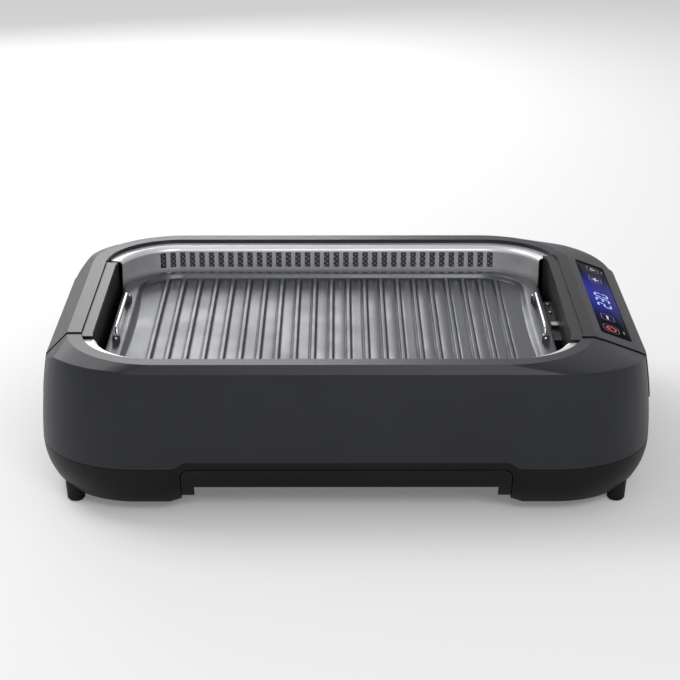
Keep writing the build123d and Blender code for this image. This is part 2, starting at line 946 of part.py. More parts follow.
# Steel well, in a front half and a slotted back half
def well_half(end):
    """One half of the steel well: end is -1 for the front and 1 for the back."""
    half_x = opening_half_x - well_clearance
    half_y = opening_half_y - well_clearance
    left = well_x - half_x
    right = well_x + half_x
    top = flange_top_z
    inner_x = left + flange_width
    start_y = end * (half_y - opening_radius - ledge_width)
    with BuildPart() as half:
        with BuildLine():
            path = FilletPolyline(
                (left, start_y, top),
                (left, end * half_y, top),
                (right, end * half_y, top),
                (right, start_y, top),
                radius=opening_radius - well_clearance,
            )
        with BuildSketch(Plane.XZ.offset(-start_y)):
            with BuildLine():
                flat = Line((left, top), (inner_x - bend_radius, top))
                bend = JernArc(flat @ 1, (1, 0), bend_radius, -90)
                drop = Line(bend @ 1, (inner_x, well_bottom_z))
                foot = Line(drop @ 1, (inner_x - sheet, well_bottom_z))
                rise = Line(foot @ 1, (inner_x - sheet, top - bend_radius))
                inner = JernArc(rise @ 1, (0, 1), bend_radius - sheet, 90)
                back = Line(inner @ 1, (left, top - sheet))
                Line(back @ 1, flat @ 0)
            make_face()
        sweep(path=path)
        for side, end_y in ((-1, left_steel_end), (1, right_steel_end)):
            add(side_block(side, -end_y, end_y), mode=Mode.SUBTRACT)
        if end > 0:
            slot_middle_z = (slot_top_z + slot_bottom_z) / 2
            with Locations((well_x + slot_shift, half_y - flange_width, slot_middle_z)):
                with GridLocations(slot_pitch, 0, slot_count, 1):
                    Box(
                        slot_width,
                        slot_reach,
                        slot_top_z - slot_bottom_z,
                        mode=Mode.SUBTRACT,
                    )
    return half.part


save(well_half(-1), "front_well_wall")
save(well_half(1), "slotted_well_wall")

# Grease filter behind the slots
filter_width = slot_pitch * slot_count + 2 * filter_border
filter_height = slot_top_z - slot_bottom_z + 2 * filter_border
with BuildPart() as grease_filter:
    with BuildSketch(Plane.XZ.offset(-filter_y)):
        with Locations((well_x + slot_shift, (slot_top_z + slot_bottom_z) / 2)):
            Rectangle(filter_width, filter_height)
            with GridLocations(
                mesh_pitch_x, mesh_pitch_z, int(filter_width / mesh_pitch_x), mesh_rows
            ):
                Rectangle(mesh_hole_x, mesh_hole_z, mode=Mode.SUBTRACT)
    extrude(amount=-filter_sheet)
save(grease_filter.part, "grease_filter")

# Cooking plate with ribs and a sunk cooking surface
cook_z = plate_top_z - cook_depth
with BuildPart() as grill_plate:
    with BuildSketch(Plane.XY.offset(plate_skirt_z)):
        with Locations((plate_x, 0)):
            RectangleRounded(2 * plate_half_x, 2 * plate_half_y, plate_radius)
    extrude(amount=plate_top_z - plate_skirt_z)
    fillet(grill_plate.edges().group_by(Axis.Z)[-1], plate_edge_fillet)
    with BuildSketch(Plane.XY.offset(plate_top_z)):
        with Locations((plate_x, 0)):
            RectangleRounded(2 * cook_half_x, 2 * cook_half_y, cook_radius)
    extrude(amount=-cook_depth, taper=cook_draft, mode=Mode.SUBTRACT)
    with BuildSketch(Plane.XY.offset(cook_z)):
        with Locations((plate_x, 0)):
            with GridLocations(rib_pitch, 0, rib_count, 1):
                SlotOverall(2 * (cook_half_y - rib_end_gap), rib_width + rib_root, rotation=90)
    extrude(amount=rib_height, taper=rib_draft)
    # Drain holes between ribs, in every third gap towards the front
    with Locations((plate_x, drain_hole_inset - cook_half_y, cook_z)):
        with GridLocations(3 * rib_pitch, 0, drain_hole_count, 1):
            Cylinder(drain_hole_radius, 2 * plate_height, mode=Mode.SUBTRACT)
    # Hollow underside inside the skirt
    with BuildSketch(Plane.XY.offset(plate_skirt_z)):
        with Locations((plate_x, 0)):
            RectangleRounded(
                2 * (plate_half_x - plate_skirt_wall),
                2 * (plate_half_y - plate_skirt_wall),
                plate_radius - plate_skirt_wall,
            )
    extrude(amount=cook_z - plate_thickness - plate_skirt_z, mode=Mode.SUBTRACT)
save(grill_plate.part, "grill_plate")

# Wire bails and their pivot brackets
bar_radius = bail_wire / 2
pivot_z = plate_top_z + pivot_height
bracket_y = bail_half_y + bracket_gap + bracket_width / 2


def pivot_x(side):
    """X of a bail's pivot line."""
    return plate_x + side * (plate_half_x - bail_inset)


def wire_bail(side):
    """A bent wire handle that leans outwards: two pins, two legs and a bar."""
    lean = radians(bail_lean)
    plane = Plane(
        origin=(pivot_x(side), 0, pivot_z),
        x_dir=(0, 1, 0),
        z_dir=(cos(lean), 0, -side * sin(lean)),
    )
    pin_end = bail_half_y + bracket_gap + bracket_width + pin_proud
    bar_end = bail_half_y - bail_taper
    with BuildPart() as bail:
        with BuildLine(plane) as route:
            FilletPolyline(
                (-pin_end, 0),
                (-bail_half_y, 0),
                (-bar_end, bail_height),
                (bar_end, bail_height),
                (bail_half_y, 0),
                (pin_end, 0),
                radius=[pin_bend, bail_bend, bail_bend, pin_bend],
            )
        with BuildSketch(Plane(origin=route.line @ 0, z_dir=route.line % 0)):
            Circle(bar_radius)
        sweep(path=route.line)
    return bail.part


def bail_brackets(side):
    """The two small brackets that hold a bail's pins."""
    with BuildPart() as brackets:
        with Locations(*[(pivot_x(side), y, plate_top_z) for y in (-bracket_y, bracket_y)]):
            Box(
                2 * (bar_radius + bracket_side),
                bracket_width,
                pivot_height + bar_radius + bracket_cover,
                align=on_floor,
            )
        fillet(brackets.edges().filter_by(Axis.Y).group_by(Axis.Z)[-1], bracket_fillet)
        with BuildSketch(Plane.XZ.offset(-bracket_y - bracket_width)):
            with Locations((pivot_x(side), pivot_z)):
                Circle(bar_radius + pin_clearance)
        extrude(amount=2 * (bracket_y + bracket_width), mode=Mode.SUBTRACT)
    return brackets.part


save(wire_bail(-1), "left_bail")
save(wire_bail(1), "right_bail")
save(bail_brackets(-1), "left_bail_brackets")
save(bail_brackets(1), "right_bail_brackets")


# Heat pan with a drain, which carries the heater
def pan_outline(inset):
    """Sketches the heat pan's outline, made smaller by an even distance."""
    with Locations((plate_x, 0)):
        RectangleRounded(
            2 * (pan_half_x - inset), 2 * (pan_half_y - inset), pan_radius - inset
        )


drain_x = well_x
with BuildPart() as heat_pan:
    with BuildSketch(Plane.XY.offset(pan_floor_z - pan_sheet)):
        pan_outline(0)
    extrude(amount=plate_skirt_z - seat - pan_floor_z + pan_sheet)
    with BuildSketch(Plane.XY.offset(pan_floor_z)):
        pan_outline(pan_sheet)
    extrude(amount=over, mode=Mode.SUBTRACT)
    with Locations((drain_x, 0, pan_floor_z - pan_sheet - drain_drop)):
        Cylinder(drain_radius + pan_sheet, drain_drop + pan_sheet, align=on_floor)
    with Locations((drain_x, 0, pan_floor_z)):
        Cylinder(drain_radius, over, mode=Mode.SUBTRACT)
    # Notch where the heater's ends leave the pan
    with Locations((plate_x + pan_half_x, 0, pan_floor_z + pan_notch_rise)):
        Box(pan_notch_length, 2 * pan_notch_half_y, over, align=on_floor, mode=Mode.SUBTRACT)
save(heat_pan.part, "heat_pan")

# Sheathed heating element
lead_in_y = heater_pitch / 2
outer_run_y = pan_half_y - heater_run_inset
inner_run_y = outer_run_y - heater_run_gap
far_x = plate_x - pan_half_x + heater_far_inset
near_x = plate_x + pan_half_x - heater_near_inset
return_x = near_x - heater_return_gap
heater_points = [
    (heater_end_x, -lead_in_y),
    (near_x, -lead_in_y),
    (near_x, -outer_run_y),
    (far_x, -outer_run_y),
    (far_x, -inner_run_y),
    (return_x, -inner_run_y),
    (return_x, inner_run_y),
    (far_x, inner_run_y),
    (far_x, outer_run_y),
    (near_x, outer_run_y),
    (near_x, lead_in_y),
    (heater_end_x, lead_in_y),
]
with BuildPart() as heating_element:
    with BuildLine(Plane.XY.offset(heater_z)) as element_route:
        FilletPolyline(*heater_points, radius=heater_bend)
    with BuildSketch(Plane(origin=element_route.line @ 0, z_dir=element_route.line % 0)):
        Circle(heater_diameter / 2)
    sweep(path=element_route.line)
save(heating_element.part, "heating_element")

clip_places = [(far_x + inset, side * outer_run_y) for inset in clip_insets for side in (-1, 1)]
with BuildPart() as heater_clips:
    with Locations(*[(x, y, pan_floor_z) for x, y in clip_places]):
        Box(clip_width, clip_length, heater_z - pan_floor_z, align=on_floor)
    with Locations(*[(x, y, heater_z) for x, y in clip_places]):
        Cylinder(
            heater_diameter / 2 + heater_fit,
            2 * clip_width,
            rotation=(0, 90, 0),
            mode=Mode.SUBTRACT,
        )
save(heater_clips.part, "heater_clips")

# Terminal block at the heater's cold ends, with a riser for the earth strip
block_top_z = block_z + block_height
riser_x = block_x + riser_inset
with BuildPart() as terminal_block:
    with Locations((block_x, block_front_y, block_z)):
        Box(
            block_length,
            block_back_y - block_front_y,
            block_height,
            align=(Align.MIN, Align.MIN, Align.MIN),
        )
    fillet(terminal_block.edges().filter_by(Axis.Y), block_fillet)
    with Locations((riser_x, 0, block_top_z - lap)):
        Box(
            riser_length,
            riser_width,
            block_riser + lap,
            align=(Align.MIN, Align.MIN, Align.MIN),
        )
    with Locations(*[(block_x, y, heater_z) for y in (-lead_in_y, lead_in_y)]):
        Cylinder(
            heater_diameter / 2 + heater_fit,
            3 * block_length,
            rotation=(0, 90, 0),
            mode=Mode.SUBTRACT,
        )
save(terminal_block.part, "terminal_block")

tab_x = heater_end_x + board_gap
with BuildPart() as terminal_tabs:
    with Locations(*[(tab_x, y, heater_z) for y in (-lead_in_y, lead_in_y)]):
        Box(tab_length, tab_width, tab_sheet, align=(Align.MIN, Align.CENTER, Align.CENTER))
save(terminal_tabs.part, "terminal_tabs")

with BuildPart() as terminal_screws:
    with Locations(*[(block_x + terminal_screw_inset, y, block_top_z) for y in screw_ys]):
        Cylinder(terminal_screw_radius, terminal_screw_height, align=on_floor)
    fillet(terminal_screws.edges().group_by(Axis.Z)[-1], screw_end_fillet)
save(terminal_screws.part, "terminal_screws")

# Earth strip over the riser, with a leg behind it
strip_top_z = block_top_z + block_riser + strip_sheet
with BuildPart() as earth_clip:
    with Locations((riser_x, 0, block_top_z + block_riser)):
        Box(
            riser_length,
            riser_width + seat + strip_sheet,
            strip_sheet,
            align=(Align.MIN, Align.MIN, Align.MIN),
        )
    with Locations((riser_x, riser_width + seat, block_top_z)):
        Box(
            riser_length,
            strip_sheet,
            strip_top_z - block_top_z,
            align=(Align.MIN, Align.MIN, Align.MIN),
        )
save(earth_clip.part, "earth_clip")

with BuildPart() as thermal_cutout:
    with Locations((plate_x + cutout_offset_x, cutout_y, pan_floor_z - pan_sheet)):
        Cylinder(cutout_radius, cutout_height, align=hanging)
        Box(cutout_strap, cutout_strap_width, tab_sheet, align=hanging)
save(thermal_cutout.part, "thermal_cutout")

# Drip tray: its front panel follows the casing, set back a little
tray_face_inner = casing(-tray_recess - tray_face_wall)
with BuildPart() as tray_front:
    add(casing(-tray_recess))
    add(tray_face_inner, mode=Mode.SUBTRACT)
    with Locations((0, tray_front_y, tray_floor_z)):
        Box(
            2 * (arch_half_x - tray_gap),
            2 * over,
            arch_top_z - tray_gap - tray_floor_z,
            align=on_floor,
            mode=Mode.INTERSECT,
        )
    with Locations((0, tray_front_y, 0)):
        Box(2 * grip_half_x, 2 * over, grip_top_z, align=on_floor, mode=Mode.SUBTRACT)
    upper_corners = tray_front.edges().filter_by(Axis.Y, tolerance=corner_slant).group_by(Axis.Z)[-1]
    fillet(upper_corners, arch_radius - tray_gap)
save(tray_front.part, "drip_tray_front")

tray_middle_y = (tray_front_y + tray_back_y) / 2
with BuildPart() as drip_tray:
    with Locations((0, tray_middle_y, tray_floor_z)):
        Box(
            2 * tray_half_x,
            tray_back_y - tray_front_y,
            tray_top_z - tray_floor_z,
            align=on_floor,
        )
    fillet(drip_tray.edges().filter_by(Axis.Z), tray_corner)
    with Locations((0, tray_middle_y, tray_floor_z + tray_wall)):
        Box(
            2 * (tray_half_x - tray_wall),
            tray_back_y - tray_front_y - 2 * tray_wall,
            over,
            align=on_floor,
            mode=Mode.SUBTRACT,
        )
    # Shelf that joins the tray to its front panel
    with Locations((0, tray_front_y + lap, grip_top_z + shelf_rise)):
        Box(
            2 * grip_half_x,
            over,
            shelf_thickness,
            align=(Align.CENTER, Align.MAX, Align.MIN),
        )
    add(tray_face_inner, mode=Mode.INTERSECT)
save(drip_tray.part, "drip_tray")


def tray_rail(side):
    """A rail on the floor of the lower casing, with a lip under the tray."""
    inner = side * (tray_half_x + rail_side_gap)
    outer = inner + side * rail_wall
    lip = inner - side * rail_lip
    stop_y = tray_back_y + rail_lip
    with BuildPart() as rail:
        with BuildSketch(Plane.XZ.offset(-stop_y)):
            with BuildLine():
                Polyline(
                    (inner, floor_z + rail_height),
                    (outer, floor_z + rail_height),
                    (outer, floor_z),
                    (lip, floor_z),
                    (lip, tray_floor_z - seat),
                    (inner, tray_floor_z - seat),
                    close=True,
                )
            make_face()
        extrude(amount=stop_y - tray_front_y)
    return rail.part


save(tray_rail(-1), "tray_rail_left")
save(tray_rail(1), "tray_rail_right")

# Fan: scroll, cover, motor and the turning parts
outlet_end_y = casing_half_y - outlet_gap


def scroll_outline(inset, end_y):
    """Sketches the scroll's round and its outlet, made smaller by an even distance."""
    with Locations((fan_x, fan_y)):
        Circle(scroll_radius - inset)
    with Locations((fan_x - scroll_radius + inset, fan_y)):
        Rectangle(scroll_radius - 2 * inset, end_y - fan_y, align=(Align.MIN, Align.MIN))


with BuildPart() as fan_scroll:
    with BuildSketch(Plane.XY.offset(scroll_floor_z)):
        scroll_outline(0, outlet_end_y)
    extrude(amount=scroll_height)
    with BuildSketch(Plane.XY.offset(scroll_floor_z + scroll_wall)):
        scroll_outline(scroll_wall, outlet_end_y + lap)
    extrude(amount=scroll_height, mode=Mode.SUBTRACT)
    with Locations((fan_x, fan_y, scroll_floor_z)):
        Cylinder(motor_opening, 2 * scroll_wall + lap, mode=Mode.SUBTRACT)
save(fan_scroll.part, "fan_scroll")

with BuildPart() as fan_cover:
    with BuildSketch(Plane.XY.offset(scroll_top_z)):
        scroll_outline(0, outlet_end_y)
        with Locations((fan_x, fan_y)):
            Circle(fan_inlet_radius, mode=Mode.SUBTRACT)
    extrude(amount=scroll_wall)
save(fan_cover.part, "fan_cover")

motor_bottom_z = floor_z + motor_rise
with BuildPart() as fan_motor:
    with Locations((fan_x, fan_y, motor_bottom_z)):
        Cylinder(motor_radius, scroll_floor_z - motor_bottom_z, align=on_floor)
    fillet(fan_motor.edges().group_by(Axis.Z)[0], motor_fillet)
    with Locations((fan_x, fan_y, motor_bottom_z + motor_fillet)):
        Cylinder(shaft_radius + shaft_play, over, align=on_floor, mode=Mode.SUBTRACT)
save(fan_motor.part, "fan_motor")

wheel_z = scroll_floor_z + wheel_gap
shaft_bottom_z = motor_bottom_z + shaft_well
wheel_top_z = wheel_z + fan_height
with BuildPart() as motor_shaft:
    with Locations((fan_x, fan_y, shaft_bottom_z)):
        Cylinder(shaft_radius, wheel_top_z - shaft_short - shaft_bottom_z, align=on_floor)
save(motor_shaft.part, "motor_shaft")

with BuildPart() as fan_wheel:
    with Locations((fan_x, fan_y, wheel_z)):
        Cylinder(fan_radius, fan_plate, align=on_floor)
        Cylinder(hub_radius, hub_height, align=on_floor)
    with Locations((fan_x, fan_y, wheel_z + fan_plate / 2)):
        with PolarLocations(fan_radius - (blade_depth + lap) / 2, blade_count):
            Box(
                blade_depth,
                blade_thickness,
                fan_height - fan_plate,
                rotation=(0, 0, blade_angle),
                align=on_floor,
            )
    with BuildSketch(Plane.XY.offset(wheel_top_z - fan_plate)):
        with Locations((fan_x, fan_y)):
            Circle(fan_radius)
            Circle(fan_radius - fan_ring, mode=Mode.SUBTRACT)
    extrude(amount=fan_plate)
    with Locations((fan_x, fan_y, wheel_z - wheel_gap)):
        Cylinder(shaft_radius + shaft_fit, over, align=on_floor, mode=Mode.SUBTRACT)
save(fan_wheel.part, "fan_wheel")

with BuildPart() as wheel_clip:
    with Locations((fan_x, fan_y, wheel_z + hub_height)):
        Cylinder(clip_radius, clip_sheet, align=on_floor)
        Cylinder(shaft_radius + shaft_fit, over, mode=Mode.SUBTRACT)
save(wheel_clip.part, "wheel_clip")

# Intake duct: a trough behind the filter and a chute down to the fan
duct_front_y = filter_y + filter_sheet + duct_face_gap
duct_back_y = casing_half_y - duct_back_gap
duct_top_z = ledge_bottom_z - duct_gap
duct_bottom_z = scroll_top_z + scroll_wall + seat
trough_floor_z = duct_top_z - trough_depth
chute_front_y = fan_y - fan_inlet_radius - chute_front_gap
chute_top_z = pan_floor_z - pan_sheet - duct_gap


def duct_box(half_x, front_y, back_y, low_z, high_z):
    """A block of the duct between two places along Y and two heights."""
    with BuildPart() as block:
        with Locations((fan_x, front_y, low_z)):
            Box(
                2 * half_x,
                back_y - front_y,
                high_z - low_z,
                align=(Align.CENTER, Align.MIN, Align.MIN),
            )
    return block.part


inner_half_x = chute_half_x - duct_wall
inner_back_y = duct_back_y - duct_wall
inner_low_z = duct_bottom_z + duct_wall
drop_front_y = duct_front_y + duct_wall
trough_inner_z = trough_floor_z + duct_wall
with BuildPart() as intake_duct:
    add(duct_box(duct_half_x, duct_front_y, duct_back_y, trough_floor_z, duct_top_z))
    add(duct_box(chute_half_x, duct_front_y, duct_back_y, duct_bottom_z, trough_inner_z))
    add(duct_box(chute_half_x, chute_front_y, duct_back_y, duct_bottom_z, chute_top_z))
    # Inside of the trough, which is open towards the filter
    add(
        duct_box(
            duct_half_x - duct_wall,
            duct_front_y - lap,
            inner_back_y,
            trough_inner_z,
            duct_top_z - duct_wall,
        ),
        mode=Mode.SUBTRACT,
    )
    # Inside of the drop and of the chute
    add(
        duct_box(inner_half_x, drop_front_y, inner_back_y, inner_low_z, trough_inner_z + lap),
        mode=Mode.SUBTRACT,
    )
    add(
        duct_box(
            inner_half_x,
            chute_front_y + duct_wall,
            inner_back_y,
            inner_low_z,
            chute_top_z - duct_wall,
        ),
        mode=Mode.SUBTRACT,
    )
    with Locations((fan_x, fan_y, duct_bottom_z)):
        Cylinder(fan_inlet_radius, 2 * duct_wall + lap, mode=Mode.SUBTRACT)
save(intake_duct.part, "intake_duct")

# Mains inlet and its pins
inlet_back_y = casing_half_y - inlet_back_gap
inlet_flange_y = casing_half_y - inlet_flange_gap
pin_back_y = inlet_back_y - inlet_depth
against_back = (Align.CENTER, Align.MAX, Align.CENTER)
towards_back = (Align.CENTER, Align.MIN, Align.CENTER)
with BuildPart() as mains_inlet:
    with Locations((inlet_x, inlet_flange_y, inlet_z)):
        Box(
            inlet_width + 2 * inlet_flange,
            inlet_flange_sheet,
            inlet_height + 2 * inlet_flange,
            align=against_back,
        )
    with Locations((inlet_x, inlet_back_y, inlet_z)):
        Box(inlet_width, inlet_depth, inlet_height, align=against_back)
    with Locations((inlet_x, inlet_back_y + lap, inlet_z)):
        Box(
            inlet_width - 2 * inlet_wall,
            inlet_depth - inlet_wall,
            inlet_height - 2 * inlet_wall,
            align=against_back,
            mode=Mode.SUBTRACT,
        )
    with Locations(*[(inlet_x + dx, pin_back_y, inlet_z + dz) for dx, dz in pin_places]):
        Box(pin_width, 3 * inlet_wall, pin_height, mode=Mode.SUBTRACT)
save(mains_inlet.part, "mains_inlet")

pin_start_y = pin_back_y - pin_inside
with BuildPart() as inlet_pins:
    with Locations(*[(inlet_x + dx, pin_start_y, inlet_z + dz) for dx, dz in pin_places]):
        Box(pin_width - pin_fit, pin_length, pin_height - pin_fit, align=towards_back)
save(inlet_pins.part, "inlet_pins")

# Power board and what stands on it
with BuildPart() as power_board:
    with Locations((board_x, 0, board_z)):
        Box(2 * board_half_x, 2 * board_half_y, board_thickness, align=on_floor)
save(power_board.part, "power_board")

board_top_z = board_z + board_thickness
block_sizes = {
    relay_place: relay_size,
    filter_coil_place: filter_coil_size,
    heat_sink_place: heat_sink_size,
}
with BuildPart() as board_components:
    for (offset_x, y), block_size in block_sizes.items():
        with Locations((board_x + offset_x, y, board_top_z)):
            Box(*block_size, align=on_floor)
    capacitor_x, capacitor_y = capacitor_place
    with Locations((board_x + capacitor_x, capacitor_y, board_top_z)):
        Cylinder(capacitor_radius, capacitor_height, align=on_floor)
save(board_components.part, "board_components")

heater_plug_x = board_x + heater_plug_offset
heater_plug_ys = (-lead_in_y, 0.0)
mains_plug_x = board_x - mains_plug_offset
fan_plug_x = board_x - fan_plug_offset
plug_places = [(heater_plug_x, y) for y in heater_plug_ys]
plug_places += [(mains_plug_x, plug_y), (fan_plug_x, plug_y)]
with BuildPart() as board_connectors:
    with Locations(*[(x, y, board_top_z) for x, y in plug_places]):
        Box(*connector_size, align=on_floor)
save(board_connectors.part, "board_connectors")


def lead(points, radii):
    """A wire along a route of straight runs joined by arcs."""
    with BuildPart() as wire:
        with BuildLine() as route:
            FilletPolyline(*points, radius=radii)
        with BuildSketch(Plane(origin=route.line @ 0, z_dir=route.line % 0)):
            Circle(lead_diameter / 2)
        sweep(path=route.line)
    return wire.part


# Leads, each along its own hand-laid route
tab_end_x = tab_x + tab_length
plug_top_z = board_top_z + connector_size[2]
heater_turn_x = tab_end_x + heater_lead_reach
front_low_z = heater_z - front_lead_fall
with BuildPart() as heater_leads:
    add(
        lead(
            [
                (tab_end_x, -lead_in_y, heater_z),
                (heater_turn_x, -lead_in_y, heater_z),
                (heater_turn_x, -lead_in_y, front_low_z),
                (heater_plug_x, -lead_in_y, front_low_z),
                (heater_plug_x, -lead_in_y, plug_top_z),
            ],
            heater_lead_radii,
        )
    )
    add(
        lead(
            [
                (tab_end_x, lead_in_y, heater_z),
                (heater_turn_x, lead_in_y, heater_z),
                (heater_turn_x, 0, heater_z - back_lead_fall),
                (heater_plug_x, 0, heater_z - back_lead_low),
                (heater_plug_x, 0, plug_top_z),
            ],
            heater_lead_radii,
        )
    )
save(heater_leads.part, "heater_leads")

pin_lead_z = inlet_z + pin_places[-1][1]
with BuildPart() as mains_lead:
    add(
        lead(
            [
                (inlet_x, pin_start_y - lap, pin_lead_z),
                (inlet_x, pin_start_y - mains_first_run, pin_lead_z),
                (mains_plug_x, pin_start_y - mains_second_run, inlet_z - mains_fall),
                (mains_plug_x, plug_y, inlet_z - pin_inside),
                (mains_plug_x, plug_y, plug_top_z),
            ],
            mains_lead_radii,
        )
    )
save(mains_lead.part, "mains_lead")

motor_side_x = fan_x + motor_radius
lead_low_z = floor_z + fan_lead_rise
with BuildPart() as fan_lead:
    add(
        lead(
            [
                (motor_side_x, fan_y, lead_low_z),
                (motor_side_x + fan_lead_run, fan_y, lead_low_z),
                (fan_plug_x - fan_lead_run, fan_y + fan_lead_shift, lead_low_z),
                (fan_plug_x, fan_lead_back_y, lead_low_z),
                (fan_plug_x, fan_lead_back_y, fan_lead_high_z),
                (fan_plug_x, plug_y, fan_lead_high_z),
                (fan_plug_x, plug_y, plug_top_z),
            ],
            fan_lead_radii,
        )
    )
save(fan_lead.part, "fan_lead")

# Screws under the base
with BuildPart() as casing_screws:
    with Locations(*[(x, y, screw_head_z) for x, y in boss_places]):
        Cylinder(screw_head_radius, screw_head_height, align=hanging)
        Cylinder(screw_radius, screw_length, align=on_floor)
save(casing_screws.part, "casing_screws")
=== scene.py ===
import json
import logging
import math
from dataclasses import dataclass, field
from enum import Enum

import bmesh
import bpy
import numpy as np
from mathutils import Euler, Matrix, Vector


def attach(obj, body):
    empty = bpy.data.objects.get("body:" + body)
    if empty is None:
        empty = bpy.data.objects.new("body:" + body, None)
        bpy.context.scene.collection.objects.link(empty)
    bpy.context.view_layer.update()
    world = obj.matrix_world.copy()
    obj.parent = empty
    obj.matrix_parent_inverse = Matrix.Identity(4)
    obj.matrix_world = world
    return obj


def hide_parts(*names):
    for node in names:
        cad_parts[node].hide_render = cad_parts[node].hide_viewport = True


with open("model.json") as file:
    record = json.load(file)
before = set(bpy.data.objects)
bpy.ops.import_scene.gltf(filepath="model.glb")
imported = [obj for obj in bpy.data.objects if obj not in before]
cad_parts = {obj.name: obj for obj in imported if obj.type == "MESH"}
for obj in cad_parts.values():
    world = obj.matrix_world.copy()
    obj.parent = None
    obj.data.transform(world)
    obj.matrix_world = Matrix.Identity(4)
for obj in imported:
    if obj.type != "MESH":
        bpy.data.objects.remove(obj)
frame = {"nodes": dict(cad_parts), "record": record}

MM = 0.001
# Places of the Mix node's colour sockets
MIX_SHARE, MIX_FIRST, MIX_SECOND, MIX_RESULT = 0, 6, 7, 2

# X in metres over which the glow of the controls turns violet
GLOW_SPAN = (0.222, 0.246)

log = logging.getLogger("grill")


class Sockets(Enum):
    """Kinds of socket that a shared effect can have."""

    VALUE = "NodeSocketFloat"
    COLOR = "NodeSocketColor"
    VECTOR = "NodeSocketVector"


@dataclass
class Wiring:
    """A small helper round one node tree."""

    tree: bpy.types.NodeTree

    def add(self, kind: str, **settings: object) -> bpy.types.Node:
        """Adds a node and sets its properties.

        Args:
            kind: The node's Blender type.
            settings: Properties of the node by name.

        Returns:
            The new node.
        """
        node = self.tree.nodes.new(kind)
        for key, value in settings.items():
            setattr(node, key, value)
        return node

    def join(self, output: bpy.types.NodeSocket, target: bpy.types.NodeSocket) -> None:
        """Links an output to an input."""
        self.tree.links.new(output, target)

    def math(self, operation: str, first: object, second: object = None) -> bpy.types.NodeSocket:
        """Adds a Math node.

        Args:
            operation: The Math node's operation.
            first: A socket or a number.
            second: A socket or a number, where the operation takes two.

        Returns:
            The node's result.
        """
        node = self.add("ShaderNodeMath", operation=operation)
        for place, value in enumerate((first, second)):
            if isinstance(value, bpy.types.NodeSocket):
                self.join(value, node.inputs[place])
            elif value is not None:
                node.inputs[place].default_value = value
        return node.outputs[0]

    def span(self, value: bpy.types.NodeSocket, low: float, high: float,
             out_low: float, out_high: float) -> bpy.types.NodeSocket:
        """Maps a value smoothly from one span onto another.

        Args:
            value: The value to map.
            low: Start of the span that it comes from.
            high: End of that span.
            out_low: What low becomes.
            out_high: What high becomes.

        Returns:
            The mapped value, held inside the new span.
        """
        node = self.add("ShaderNodeMapRange", interpolation_type="SMOOTHSTEP")
        self.join(value, node.inputs["Value"])
        ends = {"From Min": low, "From Max": high, "To Min": out_low, "To Max": out_high}
        for key, number in ends.items():
            node.inputs[key].default_value = number
        return node.outputs[0]

    def blend(self, share: object, first: object, second: object) -> bpy.types.NodeSocket:
        """Mixes two colours.

        Args:
            share: How much of the second colour, as a socket or a number.
            first: A colour socket or value.
            second: A colour socket or value.

        Returns:
            The mixed colour.
        """
        node = self.add("ShaderNodeMix", data_type="RGBA")
        for place, value in ((MIX_SHARE, share), (MIX_FIRST, first), (MIX_SECOND, second)):
            if isinstance(value, bpy.types.NodeSocket):
                self.join(value, node.inputs[place])
            else:
                node.inputs[place].default_value = value if place == MIX_SHARE else (*value, 1.0)
        return node.outputs[MIX_RESULT]


def new_group(name: str, inputs: dict[str, tuple[Sockets, object]], outputs: dict[str, Sockets]) -> Wiring:
    """Starts a shader group with named sockets.

    Args:
        name: The group's name.
        inputs: Kind and default of each input.
        outputs: Kind of each output.

    Returns:
        The group's wiring, with its Group Input and Group Output in place.
    """
    tree = bpy.data.node_groups.new(name, "ShaderNodeTree")
    for key, (kind, default) in inputs.items():
        socket = tree.interface.new_socket(key, in_out="INPUT", socket_type=kind.value)
        socket.default_value = default
    for key, kind in outputs.items():
        tree.interface.new_socket(key, in_out="OUTPUT", socket_type=kind.value)
    wiring = Wiring(tree)
    wiring.add("NodeGroupInput", name="in")
    wiring.add("NodeGroupOutput", name="out")
    return wiring


def grain_group() -> bpy.types.NodeTree:
    """Fine moulded grain: fine noise as a height, and broad noise as a mask of patches.

    Returns:
        The group's tree.
    """
    w = new_group(
        "moulded_grain",
        {"Scale": (Sockets.VALUE, 900.0), "Patches": (Sockets.VALUE, 14.0)},
        {"Height": Sockets.VALUE, "Patch": Sockets.VALUE},
    )
    source, out = w.tree.nodes["in"], w.tree.nodes["out"]
    place = w.add("ShaderNodeTexCoord")
    fine = w.add("ShaderNodeTexNoise")
    fine.inputs["Detail"].default_value = 3.0
    broad = w.add("ShaderNodeTexNoise")
    broad.inputs["Detail"].default_value = 4.0
    for noise, key in ((fine, "Scale"), (broad, "Patches")):
        w.join(place.outputs["Object"], noise.inputs["Vector"])
        w.join(source.outputs[key], noise.inputs["Scale"])
    w.join(fine.outputs["Fac"], out.inputs["Height"])
    w.join(w.span(broad.outputs["Fac"], 0.35, 0.65, 0.0, 1.0), out.inputs["Patch"])
    return w.tree


